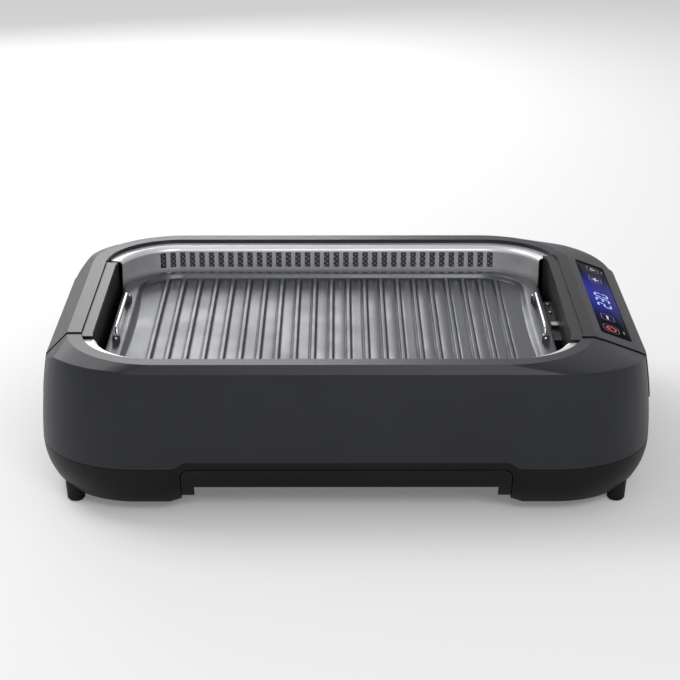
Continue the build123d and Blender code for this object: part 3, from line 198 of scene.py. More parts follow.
def brush_group() -> bpy.types.NodeTree:
    """Brushed lines: noise squeezed along one direction, with broad streaks over it.

    Returns:
        The group's tree.
    """
    w = new_group(
        "brushed_lines",
        {"Direction": (Sockets.VECTOR, (12.0, 900.0, 900.0)), "Streaks": (Sockets.VECTOR, (3.0, 60.0, 60.0))},
        {"Height": Sockets.VALUE, "Streak": Sockets.VALUE},
    )
    source, out = w.tree.nodes["in"], w.tree.nodes["out"]
    place = w.add("ShaderNodeTexCoord")
    for key, target, detail in (("Direction", "Height", 2.0), ("Streaks", "Streak", 3.0)):
        squeeze = w.add("ShaderNodeVectorMath", operation="MULTIPLY")
        w.join(place.outputs["Object"], squeeze.inputs[0])
        w.join(source.outputs[key], squeeze.inputs[1])
        noise = w.add("ShaderNodeTexNoise")
        noise.inputs["Scale"].default_value = 1.0
        noise.inputs["Detail"].default_value = detail
        w.join(squeeze.outputs[0], noise.inputs["Vector"])
        w.join(noise.outputs["Fac"], out.inputs[target])
    return w.tree


def speckle_group() -> bpy.types.NodeTree:
    """A sprayed coat: small cells, some of them bright flecks, over a soft cloudy tone.

    Returns:
        The group's tree.
    """
    w = new_group(
        "sprayed_coat",
        {"Scale": (Sockets.VALUE, 1400.0), "Clouds": (Sockets.VALUE, 22.0)},
        {"Fleck": Sockets.VALUE, "Cloud": Sockets.VALUE, "Height": Sockets.VALUE},
    )
    source, out = w.tree.nodes["in"], w.tree.nodes["out"]
    place = w.add("ShaderNodeTexCoord")
    cells = w.add("ShaderNodeTexVoronoi")
    cloud = w.add("ShaderNodeTexNoise")
    cloud.inputs["Detail"].default_value = 4.0
    for texture, key in ((cells, "Scale"), (cloud, "Clouds")):
        w.join(place.outputs["Object"], texture.inputs["Vector"])
        w.join(source.outputs[key], texture.inputs["Scale"])
    split = w.add("ShaderNodeSeparateColor")
    w.join(cells.outputs["Color"], split.inputs[0])
    w.join(w.span(split.outputs[0], 0.86, 0.98, 0.0, 1.0), out.inputs["Fleck"])
    w.join(w.span(cloud.outputs["Fac"], 0.3, 0.7, 0.0, 1.0), out.inputs["Cloud"])
    w.join(cells.outputs["Distance"], out.inputs["Height"])
    return w.tree


def glow_group() -> bpy.types.NodeTree:
    """A soft glow across the controls: strongest at one Y and fading on both sides of it.

    The mask is a smooth step of 1 - distance / reach, made ragged by a quarter of a cloud of noise.

    Returns:
        The group's tree.
    """
    w = new_group(
        "panel_glow",
        {"Middle": (Sockets.VALUE, 0.0), "Reach": (Sockets.VALUE, 0.08)},
        {"Mask": Sockets.VALUE, "Down": Sockets.VALUE, "Cloud": Sockets.VALUE},
    )
    source, out = w.tree.nodes["in"], w.tree.nodes["out"]
    place = w.add("ShaderNodeTexCoord")
    split = w.add("ShaderNodeSeparateXYZ")
    w.join(place.outputs["Object"], split.inputs[0])
    cloud = w.add("ShaderNodeTexNoise")
    cloud.inputs["Scale"].default_value = 60.0
    cloud.inputs["Detail"].default_value = 2.0
    w.join(place.outputs["Object"], cloud.inputs["Vector"])
    away = w.math("ABSOLUTE", w.math("SUBTRACT", split.outputs["Y"], source.outputs["Middle"]))
    share = w.math("SUBTRACT", 1.0, w.math("DIVIDE", away, source.outputs["Reach"]))
    uneven = w.math("MULTIPLY", w.math("SUBTRACT", cloud.outputs["Fac"], 0.5), 0.25)
    w.join(w.span(w.math("ADD", share, uneven), 0.0, 0.9, 0.0, 1.0), out.inputs["Mask"])
    w.join(w.span(split.outputs["X"], *GLOW_SPAN, 0.0, 1.0), out.inputs["Down"])
    w.join(cloud.outputs["Fac"], out.inputs["Cloud"])
    return w.tree


def groove_group() -> bpy.types.NodeTree:
    """Painted shade in the grooves beside the ribs: a band at one distance from the nearest rib's middle.

    Returns:
        The group's tree.
    """
    w = new_group(
        "painted_groove_shade",
        {
            "Middle": (Sockets.VALUE, 0.0), "Pitch": (Sockets.VALUE, 0.0157),
            "Groove": (Sockets.VALUE, 0.0029), "Half Width": (Sockets.VALUE, 0.0012),
            "End": (Sockets.VALUE, 0.127), "Last": (Sockets.VALUE, 10.4),
        },
        {"Line": Sockets.VALUE},
    )
    source, out = w.tree.nodes["in"], w.tree.nodes["out"]
    place = w.add("ShaderNodeTexCoord")
    split = w.add("ShaderNodeSeparateXYZ")
    w.join(place.outputs["Object"], split.inputs[0])
    from_middle = w.math("SUBTRACT", split.outputs["X"], source.outputs["Middle"])
    turn = w.math("DIVIDE", from_middle, source.outputs["Pitch"])
    away = w.math("ABSOLUTE", w.math("SUBTRACT", turn, w.math("ROUND", turn)))
    away = w.math("SUBTRACT", w.math("MULTIPLY", away, source.outputs["Pitch"]), source.outputs["Groove"])
    share = w.math("DIVIDE", w.math("ABSOLUTE", away), source.outputs["Half Width"])
    inside = w.math("LESS_THAN", w.math("ABSOLUTE", split.outputs["Y"]), source.outputs["End"])
    ribbed = w.math("LESS_THAN", w.math("ABSOLUTE", turn), source.outputs["Last"])
    # Painted shade: the band darkens the coat beside each rib, over the ribbed stretch only.
    band = w.math("MULTIPLY", inside, w.span(share, 0.0, 1.0, 1.0, 0.0))
    w.join(w.math("MULTIPLY", band, ribbed), out.inputs["Line"])
    return w.tree


@dataclass(frozen=True)
class Finish:
    """What every finish shares: a name, a colour and a gloss.

    Args:
        name: The material's name.
        tint: Base colour in linear light.
        rough: Roughness.
    """

    name: str
    tint: tuple[float, float, float]
    rough: float

    def start(self, metal: float = 0.0) -> tuple[bpy.types.Material, Wiring, bpy.types.Node]:
        """Makes the material with its Principled shader.

        Args:
            metal: The shader's Metallic.

        Returns:
            The material, its wiring and the shader node.
        """
        material = bpy.data.materials.new(self.name)
        material.use_nodes = True
        wiring = Wiring(material.node_tree)
        shader = next(n for n in wiring.tree.nodes if n.type == "BSDF_PRINCIPLED")
        shader.inputs["Base Color"].default_value = (*self.tint, 1.0)
        shader.inputs["Roughness"].default_value = self.rough
        shader.inputs["Metallic"].default_value = metal
        material.diffuse_color = (*self.tint, 1.0)
        return material, wiring, shader

    def bump(self, wiring: Wiring, shader: bpy.types.Node, height: bpy.types.NodeSocket,
             strength: float, depth: float) -> None:
        """Feeds a height into the shader's normal.

        Args:
            wiring: The material's wiring.
            shader: Its Principled shader.
            height: The height.
            strength: The Bump node's strength.
            depth: The Bump node's distance in metres.
        """
        node = wiring.add("ShaderNodeBump")
        node.inputs["Strength"].default_value = strength
        node.inputs["Distance"].default_value = depth
        wiring.join(height, node.inputs["Height"])
        wiring.join(node.outputs[0], shader.inputs["Normal"])


@dataclass(frozen=True)
class Moulded(Finish):
    """Moulded plastic or rubber with a fine grain.

    Args:
        grain: Scale of the grain per metre.
        relief: Strength of the grain's bump.
        coat: Weight of a clear coat.
        specular: Specular level, where 0.5 is the usual gloss.
        shift: How far the broad patches lighten the colour.
        coat_rough: Roughness of the clear coat.
        depth: Depth of the grain in metres.
    """

    grain: float = 1500.0
    relief: float = 0.12
    coat: float = 0.0
    specular: float = 0.5
    shift: float = 0.12
    coat_rough: float = 0.18
    depth: float = 0.00012

    def build(self) -> bpy.types.Material:
        """Returns the finished material."""
        material, w, shader = self.start()
        shader.inputs["Specular IOR Level"].default_value = self.specular
        shader.inputs["Coat Weight"].default_value = self.coat
        shader.inputs["Coat Roughness"].default_value = self.coat_rough
        grain = w.add("ShaderNodeGroup", node_tree=bpy.data.node_groups["moulded_grain"])
        grain.inputs["Scale"].default_value = self.grain
        lighter = tuple(min(1.0, c * (1 + self.shift) + 0.0006) for c in self.tint)
        w.join(w.blend(grain.outputs["Patch"], self.tint, lighter), shader.inputs["Base Color"])
        w.join(w.span(grain.outputs["Height"], 0.3, 0.7, self.rough - 0.03, self.rough + 0.04),
               shader.inputs["Roughness"])
        self.bump(w, shader, grain.outputs["Height"], self.relief, self.depth)
        return material


@dataclass(frozen=True)
class Brushed(Finish):
    """Metal with brushed lines.

    Args:
        along: How the noise is squeezed per metre along X, Y and Z.
        relief: Strength of the lines' bump.
        metal: Metallic of the surface.
        streak: Brightness of the darkest streaks.
        depth: Depth of the lines in metres.
    """

    along: tuple[float, float, float] = (12.0, 900.0, 900.0)
    relief: float = 0.1
    metal: float = 1.0
    streak: float = 0.82
    depth: float = 0.00006

    def build(self) -> bpy.types.Material:
        """Returns the finished material."""
        material, w, shader = self.start(self.metal)
        lines = w.add("ShaderNodeGroup", node_tree=bpy.data.node_groups["brushed_lines"])
        lines.inputs["Direction"].default_value = self.along
        darker = tuple(c * self.streak for c in self.tint)
        w.join(w.blend(w.span(lines.outputs["Streak"], 0.3, 0.7, 0.0, 1.0), self.tint, darker),
               shader.inputs["Base Color"])
        w.join(w.span(lines.outputs["Height"], 0.3, 0.7, self.rough - 0.05, self.rough + 0.06),
               shader.inputs["Roughness"])
        self.bump(w, shader, lines.outputs["Height"], self.relief, self.depth)
        return material


@dataclass(frozen=True)
class Sprayed(Finish):
    """A non-stick coat sprayed on cast metal, with painted shade in the grooves beside its ribs.

    Args:
        metal: Metallic of the coat.
        relief: Strength of its bump.
        flecks: How much the bright flecks show.
        ribs: X of the middle rib in metres, where the piece has ribs with painted shade beside them.
        cloud: Brightness of the darkest clouds.
        groove: Brightness of the painted shade in the grooves beside the ribs.
        groove_shade_share: How much the painted groove shade covers the coat.
        depth: Depth of the cells in metres.
    """

    metal: float = 0.85
    relief: float = 0.15
    flecks: float = 0.35
    ribs: float = 0.0
    cloud: float = 0.86
    groove: float = 0.12
    groove_shade_share: float = 0.95
    depth: float = 0.0001

    def build(self) -> bpy.types.Material:
        """Returns the finished material."""
        material, w, shader = self.start(self.metal)
        coat = w.add("ShaderNodeGroup", node_tree=bpy.data.node_groups["sprayed_coat"])
        darker = tuple(c * self.cloud for c in self.tint)
        lighter = tuple(min(1.0, c * 1.25 + 0.02) for c in self.tint)
        base = w.blend(coat.outputs["Cloud"], darker, self.tint)
        share = w.math("MULTIPLY", coat.outputs["Fleck"], self.flecks)
        coated = w.blend(share, base, lighter)
        if self.ribs:
            # Painted shade: the coat is darkened in the grooves beside the ribs.
            grooves = w.add("ShaderNodeGroup", node_tree=bpy.data.node_groups["painted_groove_shade"])
            grooves.inputs["Middle"].default_value = self.ribs
            dark = tuple(c * self.groove for c in self.tint)
            line = w.math("MULTIPLY", grooves.outputs["Line"], self.groove_shade_share)
            coated = w.blend(line, coated, dark)
        w.join(coated, shader.inputs["Base Color"])
        w.join(w.span(coat.outputs["Cloud"], 0.0, 1.0, self.rough - 0.04, self.rough + 0.05),
               shader.inputs["Roughness"])
        self.bump(w, shader, coat.outputs["Height"], self.relief, self.depth)
        return material


@dataclass(frozen=True)
class Lit(Finish):
    """A mark that lights up.

    Args:
        power: Strength of its light.
        lit: Colour of its light.
        grain: Scale of its uneven spots per metre.
        dim: Brightness of the dimmest spots.
    """

    power: float = 1.0
    lit: tuple[float, float, float] = (1.0, 1.0, 1.0)
    grain: float = 700.0
    dim: float = 0.8

    def build(self) -> bpy.types.Material:
        """Returns the finished material, a little uneven over its length."""
        material, w, shader = self.start()
        shader.inputs["Emission Strength"].default_value = self.power
        grain = w.add("ShaderNodeGroup", node_tree=bpy.data.node_groups["moulded_grain"])
        grain.inputs["Scale"].default_value = self.grain
        dimmer = tuple(c * self.dim for c in self.lit)
        w.join(w.blend(w.span(grain.outputs["Height"], 0.35, 0.65, 0.0, 1.0), dimmer, self.lit),
               shader.inputs["Emission Color"])
        return material


@dataclass(frozen=True)
class GlowGlass(Finish):
    """Black glass with a blue glow behind it, strongest round a line across the glass.

    Args:
        middle: Y of the glow's middle in metres.
        reach: Distance in metres over which it fades.
        glow: Colour of its light.
        violet: Colour that the glow takes further down the slope.
        night: Colour of the light beyond the glow.
        specular: Specular level, low as on smoked glass in a dark room.
    """

    middle: float = 0.013
    reach: float = 0.076
    glow: tuple[float, float, float] = (0.024, 0.03, 0.27)
    violet: tuple[float, float, float] = (0.036, 0.034, 0.2)
    night: tuple[float, float, float] = (0.004, 0.003, 0.006)
    specular: float = 0.002

    def build(self) -> bpy.types.Material:
        """Returns the finished material."""
        material, w, shader = self.start()
        shader.inputs["Specular IOR Level"].default_value = self.specular
        glow = w.add("ShaderNodeGroup", node_tree=bpy.data.node_groups["panel_glow"])
        glow.inputs["Middle"].default_value = self.middle
        glow.inputs["Reach"].default_value = self.reach
        hue = w.blend(glow.outputs["Down"], self.glow, self.violet)
        w.join(w.blend(glow.outputs["Mask"], self.night, hue), shader.inputs["Emission Color"])
        shader.inputs["Emission Strength"].default_value = 1.0
        w.join(w.span(glow.outputs["Cloud"], 0.3, 0.7, self.rough - 0.02, self.rough + 0.03),
               shader.inputs["Roughness"])
        return material


@dataclass
class Palette:
    """All finishes by the name of the record's slot, and the materials made of them so far.

    Args:
        finishes: Each slot's finish.
        made: Each material that has been asked for.
    """

    finishes: dict[str, Finish] = field(default_factory=dict)
    made: dict[str, bpy.types.Material] = field(default_factory=dict)

    def material(self, slot: str) -> bpy.types.Material:
        """Builds a slot's material the first time it is asked for.

        Args:
            slot: Name of the slot.

        Returns:
            The material.
        """
        if slot not in self.made:
            self.made[slot] = self.finishes[slot].build()
        return self.made[slot]

    def dress(self, node: str, slot: str) -> None:
        """Puts a slot's material on a CAD node.

        Args:
            node: Name of the node.
            slot: Name of the slot.
        """
        target = frame["nodes"][node]
        target.data.materials.clear()
        target.data.materials.append(self.material(slot))


def all_finishes() -> dict[str, Finish]:
    """Lists the finish of each of the record's slots and of the lit marks.

    Returns:
        The finishes by name.
    """
    plain = [
        Moulded("casing_satin", (0.0125, 0.0135, 0.0185), 0.4, 1700.0, 0.08, specular=0.38),
        Moulded("base_matte", (0.0056, 0.0056, 0.006), 0.38, 1500.0, 0.12, specular=0.2),
        Moulded("foot_grey", (0.008, 0.008, 0.0085), 0.5, specular=0.2),
        Moulded("pad_rubber", (0.006, 0.006, 0.006), 0.7, 2400.0, 0.3),
        Moulded("panel_satin", (0.0085, 0.009, 0.0115), 0.34, 1700.0, 0.10, specular=0.22),
        GlowGlass("smoked_glass", (0.003, 0.003, 0.005), 0.12),
        Moulded("board_green", (0.01, 0.06, 0.025), 0.4, 900.0, 0.1, 0.3),
        Lit("digits", (0.1, 0.12, 0.2), 0.4, 1.0, (0.42, 0.55, 0.95)),
        Lit("white", (0.2, 0.2, 0.2), 0.4, 1.0, (0.5, 0.48, 0.55)),
        Lit("faint", (0.1, 0.1, 0.1), 0.4, 1.0, (0.16, 0.12, 0.14)),
        Lit("red", (0.2, 0.02, 0.02), 0.4, 1.0, (0.62, 0.05, 0.05)),
        Brushed("contact_metal", (0.72, 0.6, 0.38), 0.3, (300.0, 300.0, 20.0)),
        Moulded("trim_satin", (0.009, 0.0096, 0.0125), 0.34, 1700.0, 0.10, specular=0.26),
        Moulded("heat_black", (0.009, 0.009, 0.0095), 0.5, 1200.0, 0.2, specular=0.25),
        Brushed("well_steel", (0.82, 0.82, 0.835), 0.36, (8.0, 8.0, 900.0), 0.03, metal=0.6),
        Brushed("filter_mesh", (0.17, 0.17, 0.175), 0.42, (400.0, 400.0, 400.0)),
        # The plate's coat carries painted shade along the grooves beside its ribs.
        Sprayed("plate_coating", (0.105, 0.108, 0.118), 0.36, ribs=-0.0129),
        Brushed("bail_chrome", (0.62, 0.62, 0.63), 0.16, (200.0, 30.0, 200.0), 0.02),
        Sprayed("bracket_dark", (0.14, 0.142, 0.15), 0.36),
        Brushed("pan_aluminium", (0.5, 0.5, 0.51), 0.34, (60.0, 60.0, 400.0)),
        Brushed("heater_sheath", (0.10, 0.085, 0.075), 0.42, (300.0, 300.0, 300.0), metal=0.8),
        Brushed("clip_steel", (0.75, 0.75, 0.76), 0.35, (300.0, 40.0, 300.0), metal=0.6),
        Moulded("terminal_ceramic", (0.008, 0.008, 0.0085), 0.5),
        Brushed("screw_steel", (0.62, 0.62, 0.64), 0.25, (400.0, 400.0, 400.0)),
        Brushed("cutout_steel", (0.5, 0.5, 0.51), 0.32, (300.0, 300.0, 300.0)),
        Moulded("tray_plastic", (0.0085, 0.0085, 0.009), 0.46, 1500.0, 0.16),
        Moulded("tray_front_plastic", (0.0045, 0.0045, 0.0048), 0.4, 1500.0, 0.12, specular=0.25),
        Moulded("inner_plastic", (0.012, 0.012, 0.0125), 0.5),
        Brushed("motor_steel", (0.4, 0.4, 0.41), 0.3, (200.0, 200.0, 900.0)),
        Brushed("shaft_steel", (0.6, 0.6, 0.61), 0.2, (500.0, 500.0, 900.0)),
        Moulded("wheel_plastic", (0.02, 0.02, 0.021), 0.45),
        Brushed("duct_aluminium", (0.42, 0.42, 0.43), 0.36, (40.0, 400.0, 400.0)),
        Moulded("inlet_black", (0.008, 0.008, 0.008), 0.42),
        Moulded("component_black", (0.015, 0.018, 0.035), 0.3, 700.0, 0.1, 0.2),
        Moulded("connector_white", (0.6, 0.58, 0.52), 0.4, 900.0, 0.06),
        Moulded("lead_red", (0.22, 0.012, 0.01), 0.45),
        Moulded("lead_brown", (0.08, 0.03, 0.012), 0.45),
        Moulded("lead_grey", (0.03, 0.03, 0.032), 0.45),
    ]
    return {finish.name: finish for finish in plain}


class Shell:
    """A mesh that is put together from grids of points in millimetres."""

    def __init__(self, name: str) -> None:
        """Starts an empty shell.

        Args:
            name: Name of the object to be made.
        """
        self.name = name
        self.points: list[np.ndarray] = []
        self.quads: list[np.ndarray] = []
        self.count = 0

    def add(self, grid: np.ndarray, wrap_rows: bool = False, wrap_columns: bool = False,
            flip: bool = False, keep: np.ndarray | None = None) -> None:
        """Adds the quads between neighbouring points of a grid.

        Args:
            grid: Points by row, column and axis.
            wrap_rows: Joins the last row to the first.
            wrap_columns: Joins the last column to the first.
            flip: Turns the faces round.
            keep: Which cells become faces, by row and column.
        """
        rows, columns = grid.shape[:2]
        index = np.arange(rows * columns).reshape(rows, columns) + self.count
        if wrap_rows:
            index = np.vstack([index, index[:1]])
        if wrap_columns:
            index = np.hstack([index, index[:, :1]])
        quads = np.stack([index[:-1, :-1], index[:-1, 1:], index[1:, 1:], index[1:, :-1]], axis=-1)
        quads = quads[keep] if keep is not None else quads.reshape(-1, 4)
        self.quads.append(quads[:, ::-1] if flip else quads)
        self.points.append(grid.reshape(-1, 3))
        self.count += rows * columns

    def cap(self, ring: np.ndarray, flip: bool = False) -> None:
        """Closes a ring of points with a fan round its middle.

        Args:
            ring: Points of the ring in order.
            flip: Turns the faces round.
        """
        middle = np.broadcast_to(ring.mean(axis=0), ring.shape)
        self.add(np.stack([ring, middle]), wrap_columns=True, flip=flip)

    def finish(self, weld: float = 0.002, outward: bool = True, sharp: float = 40.0) -> bpy.types.Object:
        """Makes the object, with doubled points merged and smooth shading between soft edges.

        Args:
            weld: Distance in millimetres under which points are one.
            outward: Whether a closed shell's normals are worked out again.
            sharp: Angle in degrees over which an edge stays sharp.

        Returns:
            The new object.
        """
        mesh = bpy.data.meshes.new(self.name)
        mesh.from_pydata((np.concatenate(self.points) * MM).tolist(), [], np.concatenate(self.quads).tolist())
        work = bmesh.new()
        work.from_mesh(mesh)
        bmesh.ops.remove_doubles(work, verts=work.verts, dist=weld * MM)
        bmesh.ops.dissolve_degenerate(work, edges=work.edges, dist=weld * MM * 0.1)
        if outward:
            bmesh.ops.recalc_face_normals(work, faces=work.faces)
        work.to_mesh(mesh)
        work.free()
        mesh.polygons.foreach_set("use_smooth", np.ones(len(mesh.polygons), dtype=bool))
        mesh.set_sharp_from_angle(angle=math.radians(sharp))
        self.keep_rims(mesh)
        piece = bpy.data.objects.new(self.name, mesh)
        bpy.context.scene.collection.objects.link(piece)
        return piece

    @staticmethod
    def keep_rims(mesh: bpy.types.Mesh) -> None:
        """Marks the edges that have one face as sharp, so that a sheet's cut edge stays crisp.

        Args:
            mesh: The mesh to be marked.
        """
        loops = np.empty(len(mesh.loops), dtype=np.int32)
        mesh.loops.foreach_get("edge_index", loops)
        sharp = np.empty(len(mesh.edges), dtype=bool)
        mesh.edges.foreach_get("use_edge_sharp", sharp)
        sharp |= np.bincount(loops, minlength=len(sharp)) < 2
        mesh.edges.foreach_set("use_edge_sharp", sharp)


def rounded_outline(half_x: float, half_y: float, radius: float, keys: np.ndarray) -> np.ndarray:
    """Points of a rounded rectangle round the origin, at given places along it.

    A key is a side and a share: sides 0 to 3 are the front, right, back and left runs with a share
    of -1 to 1, and 4 to 7 are the corners after them with a share of 0 to 1. A run's point is its
    middle plus the share of its half length; a corner's is its centre plus the radius at 90 degrees
    times the share.

    Args:
        half_x: Half the width.
        half_y: Half the depth.
        radius: Corner radius.
        keys: Side and share of each point.

    Returns:
        The points, by X and Y.
    """
    side, share = keys[:, 0].astype(int), keys[:, 1]
    flat_x, flat_y = half_x - radius, half_y - radius
    turn = (side % 4) * np.pi / 2
    run_half = np.where(side % 2 == 0, flat_x, flat_y)
    reach = np.where(side % 2 == 0, half_y, half_x)
    along = np.stack([np.cos(turn), np.sin(turn)], axis=1)
    out = np.stack([np.sin(turn), -np.cos(turn)], axis=1)
    run = along * (share * run_half)[:, None] + out * reach[:, None]
    angle = turn - np.pi / 2 + share * np.pi / 2
    centre = along * run_half[:, None] + out * (reach - radius)[:, None]
    corner = centre + radius * np.stack([np.cos(angle), np.sin(angle)], axis=1)
    return np.where((side < 4)[:, None], run, corner)


def even_keys(run_points: int = 2, corner_points: int = 12) -> np.ndarray:
    """Keys spread evenly over the runs and corners of a rounded rectangle.

    Args:
        run_points: Points on each straight run.
        corner_points: Points on each corner.

    Returns:
        Side and share of each point.
    """
    runs = np.linspace(-1, 1, run_points)
    corners = np.linspace(0, 1, corner_points + 2)[1:-1]
    keys = [
        np.concatenate([
            np.stack([np.full(run_points, side), runs], axis=1),
            np.stack([np.full(corner_points, side + 4), corners], axis=1),
        ])
        for side in range(4)
    ]
    return np.concatenate(keys)


def lifted(flat: np.ndarray, height: float) -> np.ndarray:
    """Returns flat points of X and Y at one height."""
    return np.column_stack([flat, np.full(len(flat), height)])


def eased(share: np.ndarray | float) -> np.ndarray | float:
    """Returns a smooth step of a share from 0 to 1: s s (3 - 2 s)."""
    return share * share * (3 - 2 * share)


def box_of(node: str) -> tuple[np.ndarray, np.ndarray]:
    """Measures a CAD node.

    Args:
        node: Name of the node.

    Returns:
        Its lowest and its highest corner in millimetres.
    """
    mesh = frame["nodes"][node].data
    places = np.empty(3 * len(mesh.vertices), dtype=np.float32)
    mesh.vertices.foreach_get("co", places)
    places = places.reshape(-1, 3).astype(float) / MM
    return np.round(places.min(axis=0), 3), np.round(places.max(axis=0), 3)


def bent_path(corners: np.ndarray, radii: list[float], steps: int = 10) -> np.ndarray:
    """A path of straight runs joined by arcs.

    At a corner with radius r and half turn t, the arc starts r tan t before the corner. Its points
    are the centre plus r times the unit vectors turned evenly from one run's normal to the other's.

    Args:
        corners: Corner points.
        radii: Radius at each inner corner.
        steps: Points on each arc.

    Returns:
        The path's points.
    """
    path = [corners[0]]
    for before, corner, after, radius in zip(corners[:-2], corners[1:-1], corners[2:], radii):
        first = (before - corner) / np.linalg.norm(before - corner)
        second = (after - corner) / np.linalg.norm(after - corner)
        opening = math.acos(float(np.clip(first @ second, -1, 1))) / 2
        inward = (first + second) / np.linalg.norm(first + second)
        centre = corner + inward * radius / math.sin(opening)
        start = corner + first * radius / math.tan(opening) - centre
        end = corner + second * radius / math.tan(opening) - centre
        share = np.linspace(0, 1, steps)[:, None]
        sweep = math.pi - 2 * opening
        turned = np.sin((1 - share) * sweep) * start + np.sin(share * sweep) * end
        path.append(centre + turned / math.sin(sweep))
    path.append(corners[-1])
    return np.vstack(path)


def tube_grid(path: np.ndarray, radius: float, side: np.ndarray, sides: int = 20,
              dome: int = 5) -> np.ndarray:
    """A round tube along a flat path, with domed ends.

    A ring's points are the path's point plus r (cos a * side + sin a * up), where side is square to
    the path's plane and up to both. Over the ends the rings shrink as r cos b and move out by r sin b.

    Args:
        path: Points of the path.
        radius: Radius of the tube.
        side: Unit vector square to the path's plane.
        sides: Points on each ring.
        dome: Rings on each domed end.

    Returns:
        Points by ring, place round it and axis.
    """
    ahead = np.gradient(path, axis=0)
    ahead /= np.linalg.norm(ahead, axis=1)[:, None]
    lift = np.linspace(0, np.pi / 2, dome + 1)[1:]
    path = np.vstack([
        path[0] - ahead[0] * radius * np.sin(lift[::-1])[:, None], path,
        path[-1] + ahead[-1] * radius * np.sin(lift)[:, None],
    ])
    ahead = np.vstack([np.repeat(ahead[:1], dome, axis=0), ahead, np.repeat(ahead[-1:], dome, axis=0)])
    size = radius * np.concatenate([np.cos(lift[::-1]), np.ones(len(path) - 2 * dome), np.cos(lift)])
    up = np.cross(ahead, side)
    angle = np.linspace(0, 2 * np.pi, sides, endpoint=False)
    ring = np.cos(angle)[None, :, None] * side + np.sin(angle)[None, :, None] * up[:, None, :]
    return path[:, None, :] + size[:, None, None] * ring


class Mark(Enum):
    """The lit marks under the control glass."""

    DIGITS = "digits"
    WHITE = "white"
    FAINT = "faint"
    RED = "red"


@dataclass
class Dresser:
    """Gives a new piece the material of its slot and its body, and hides the CAD nodes that it stands for.

    Args:
        palette: Where the materials come from.
    """

    palette: Palette

    def wear(self, piece: bpy.types.Object, slot: str, body: str, *nodes: str) -> bpy.types.Object:
        """Dresses one piece.

        Args:
            piece: The new object.
            slot: The record's material slot.
            body: The body that it rides on.
            nodes: CAD nodes that it replaces.

        Returns:
            The same object.
        """
        piece.data.materials.append(self.palette.material(slot))
        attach(piece, body)
        if nodes:
            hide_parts(*nodes)
        log.info("%s: %d faces", piece.name, len(piece.data.polygons))
        return piece

    def light(self, piece: bpy.types.Object, mark: Mark) -> None:
        """Dresses a lit mark of the controls, which rides on the base.

        Args:
            piece: The new object.
            mark: Which kind of mark it is.
        """
        piece.data.materials.append(self.palette.material(mark.value))
        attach(piece, "base")
        log.info("%s: %d faces", piece.name, len(piece.data.polygons))


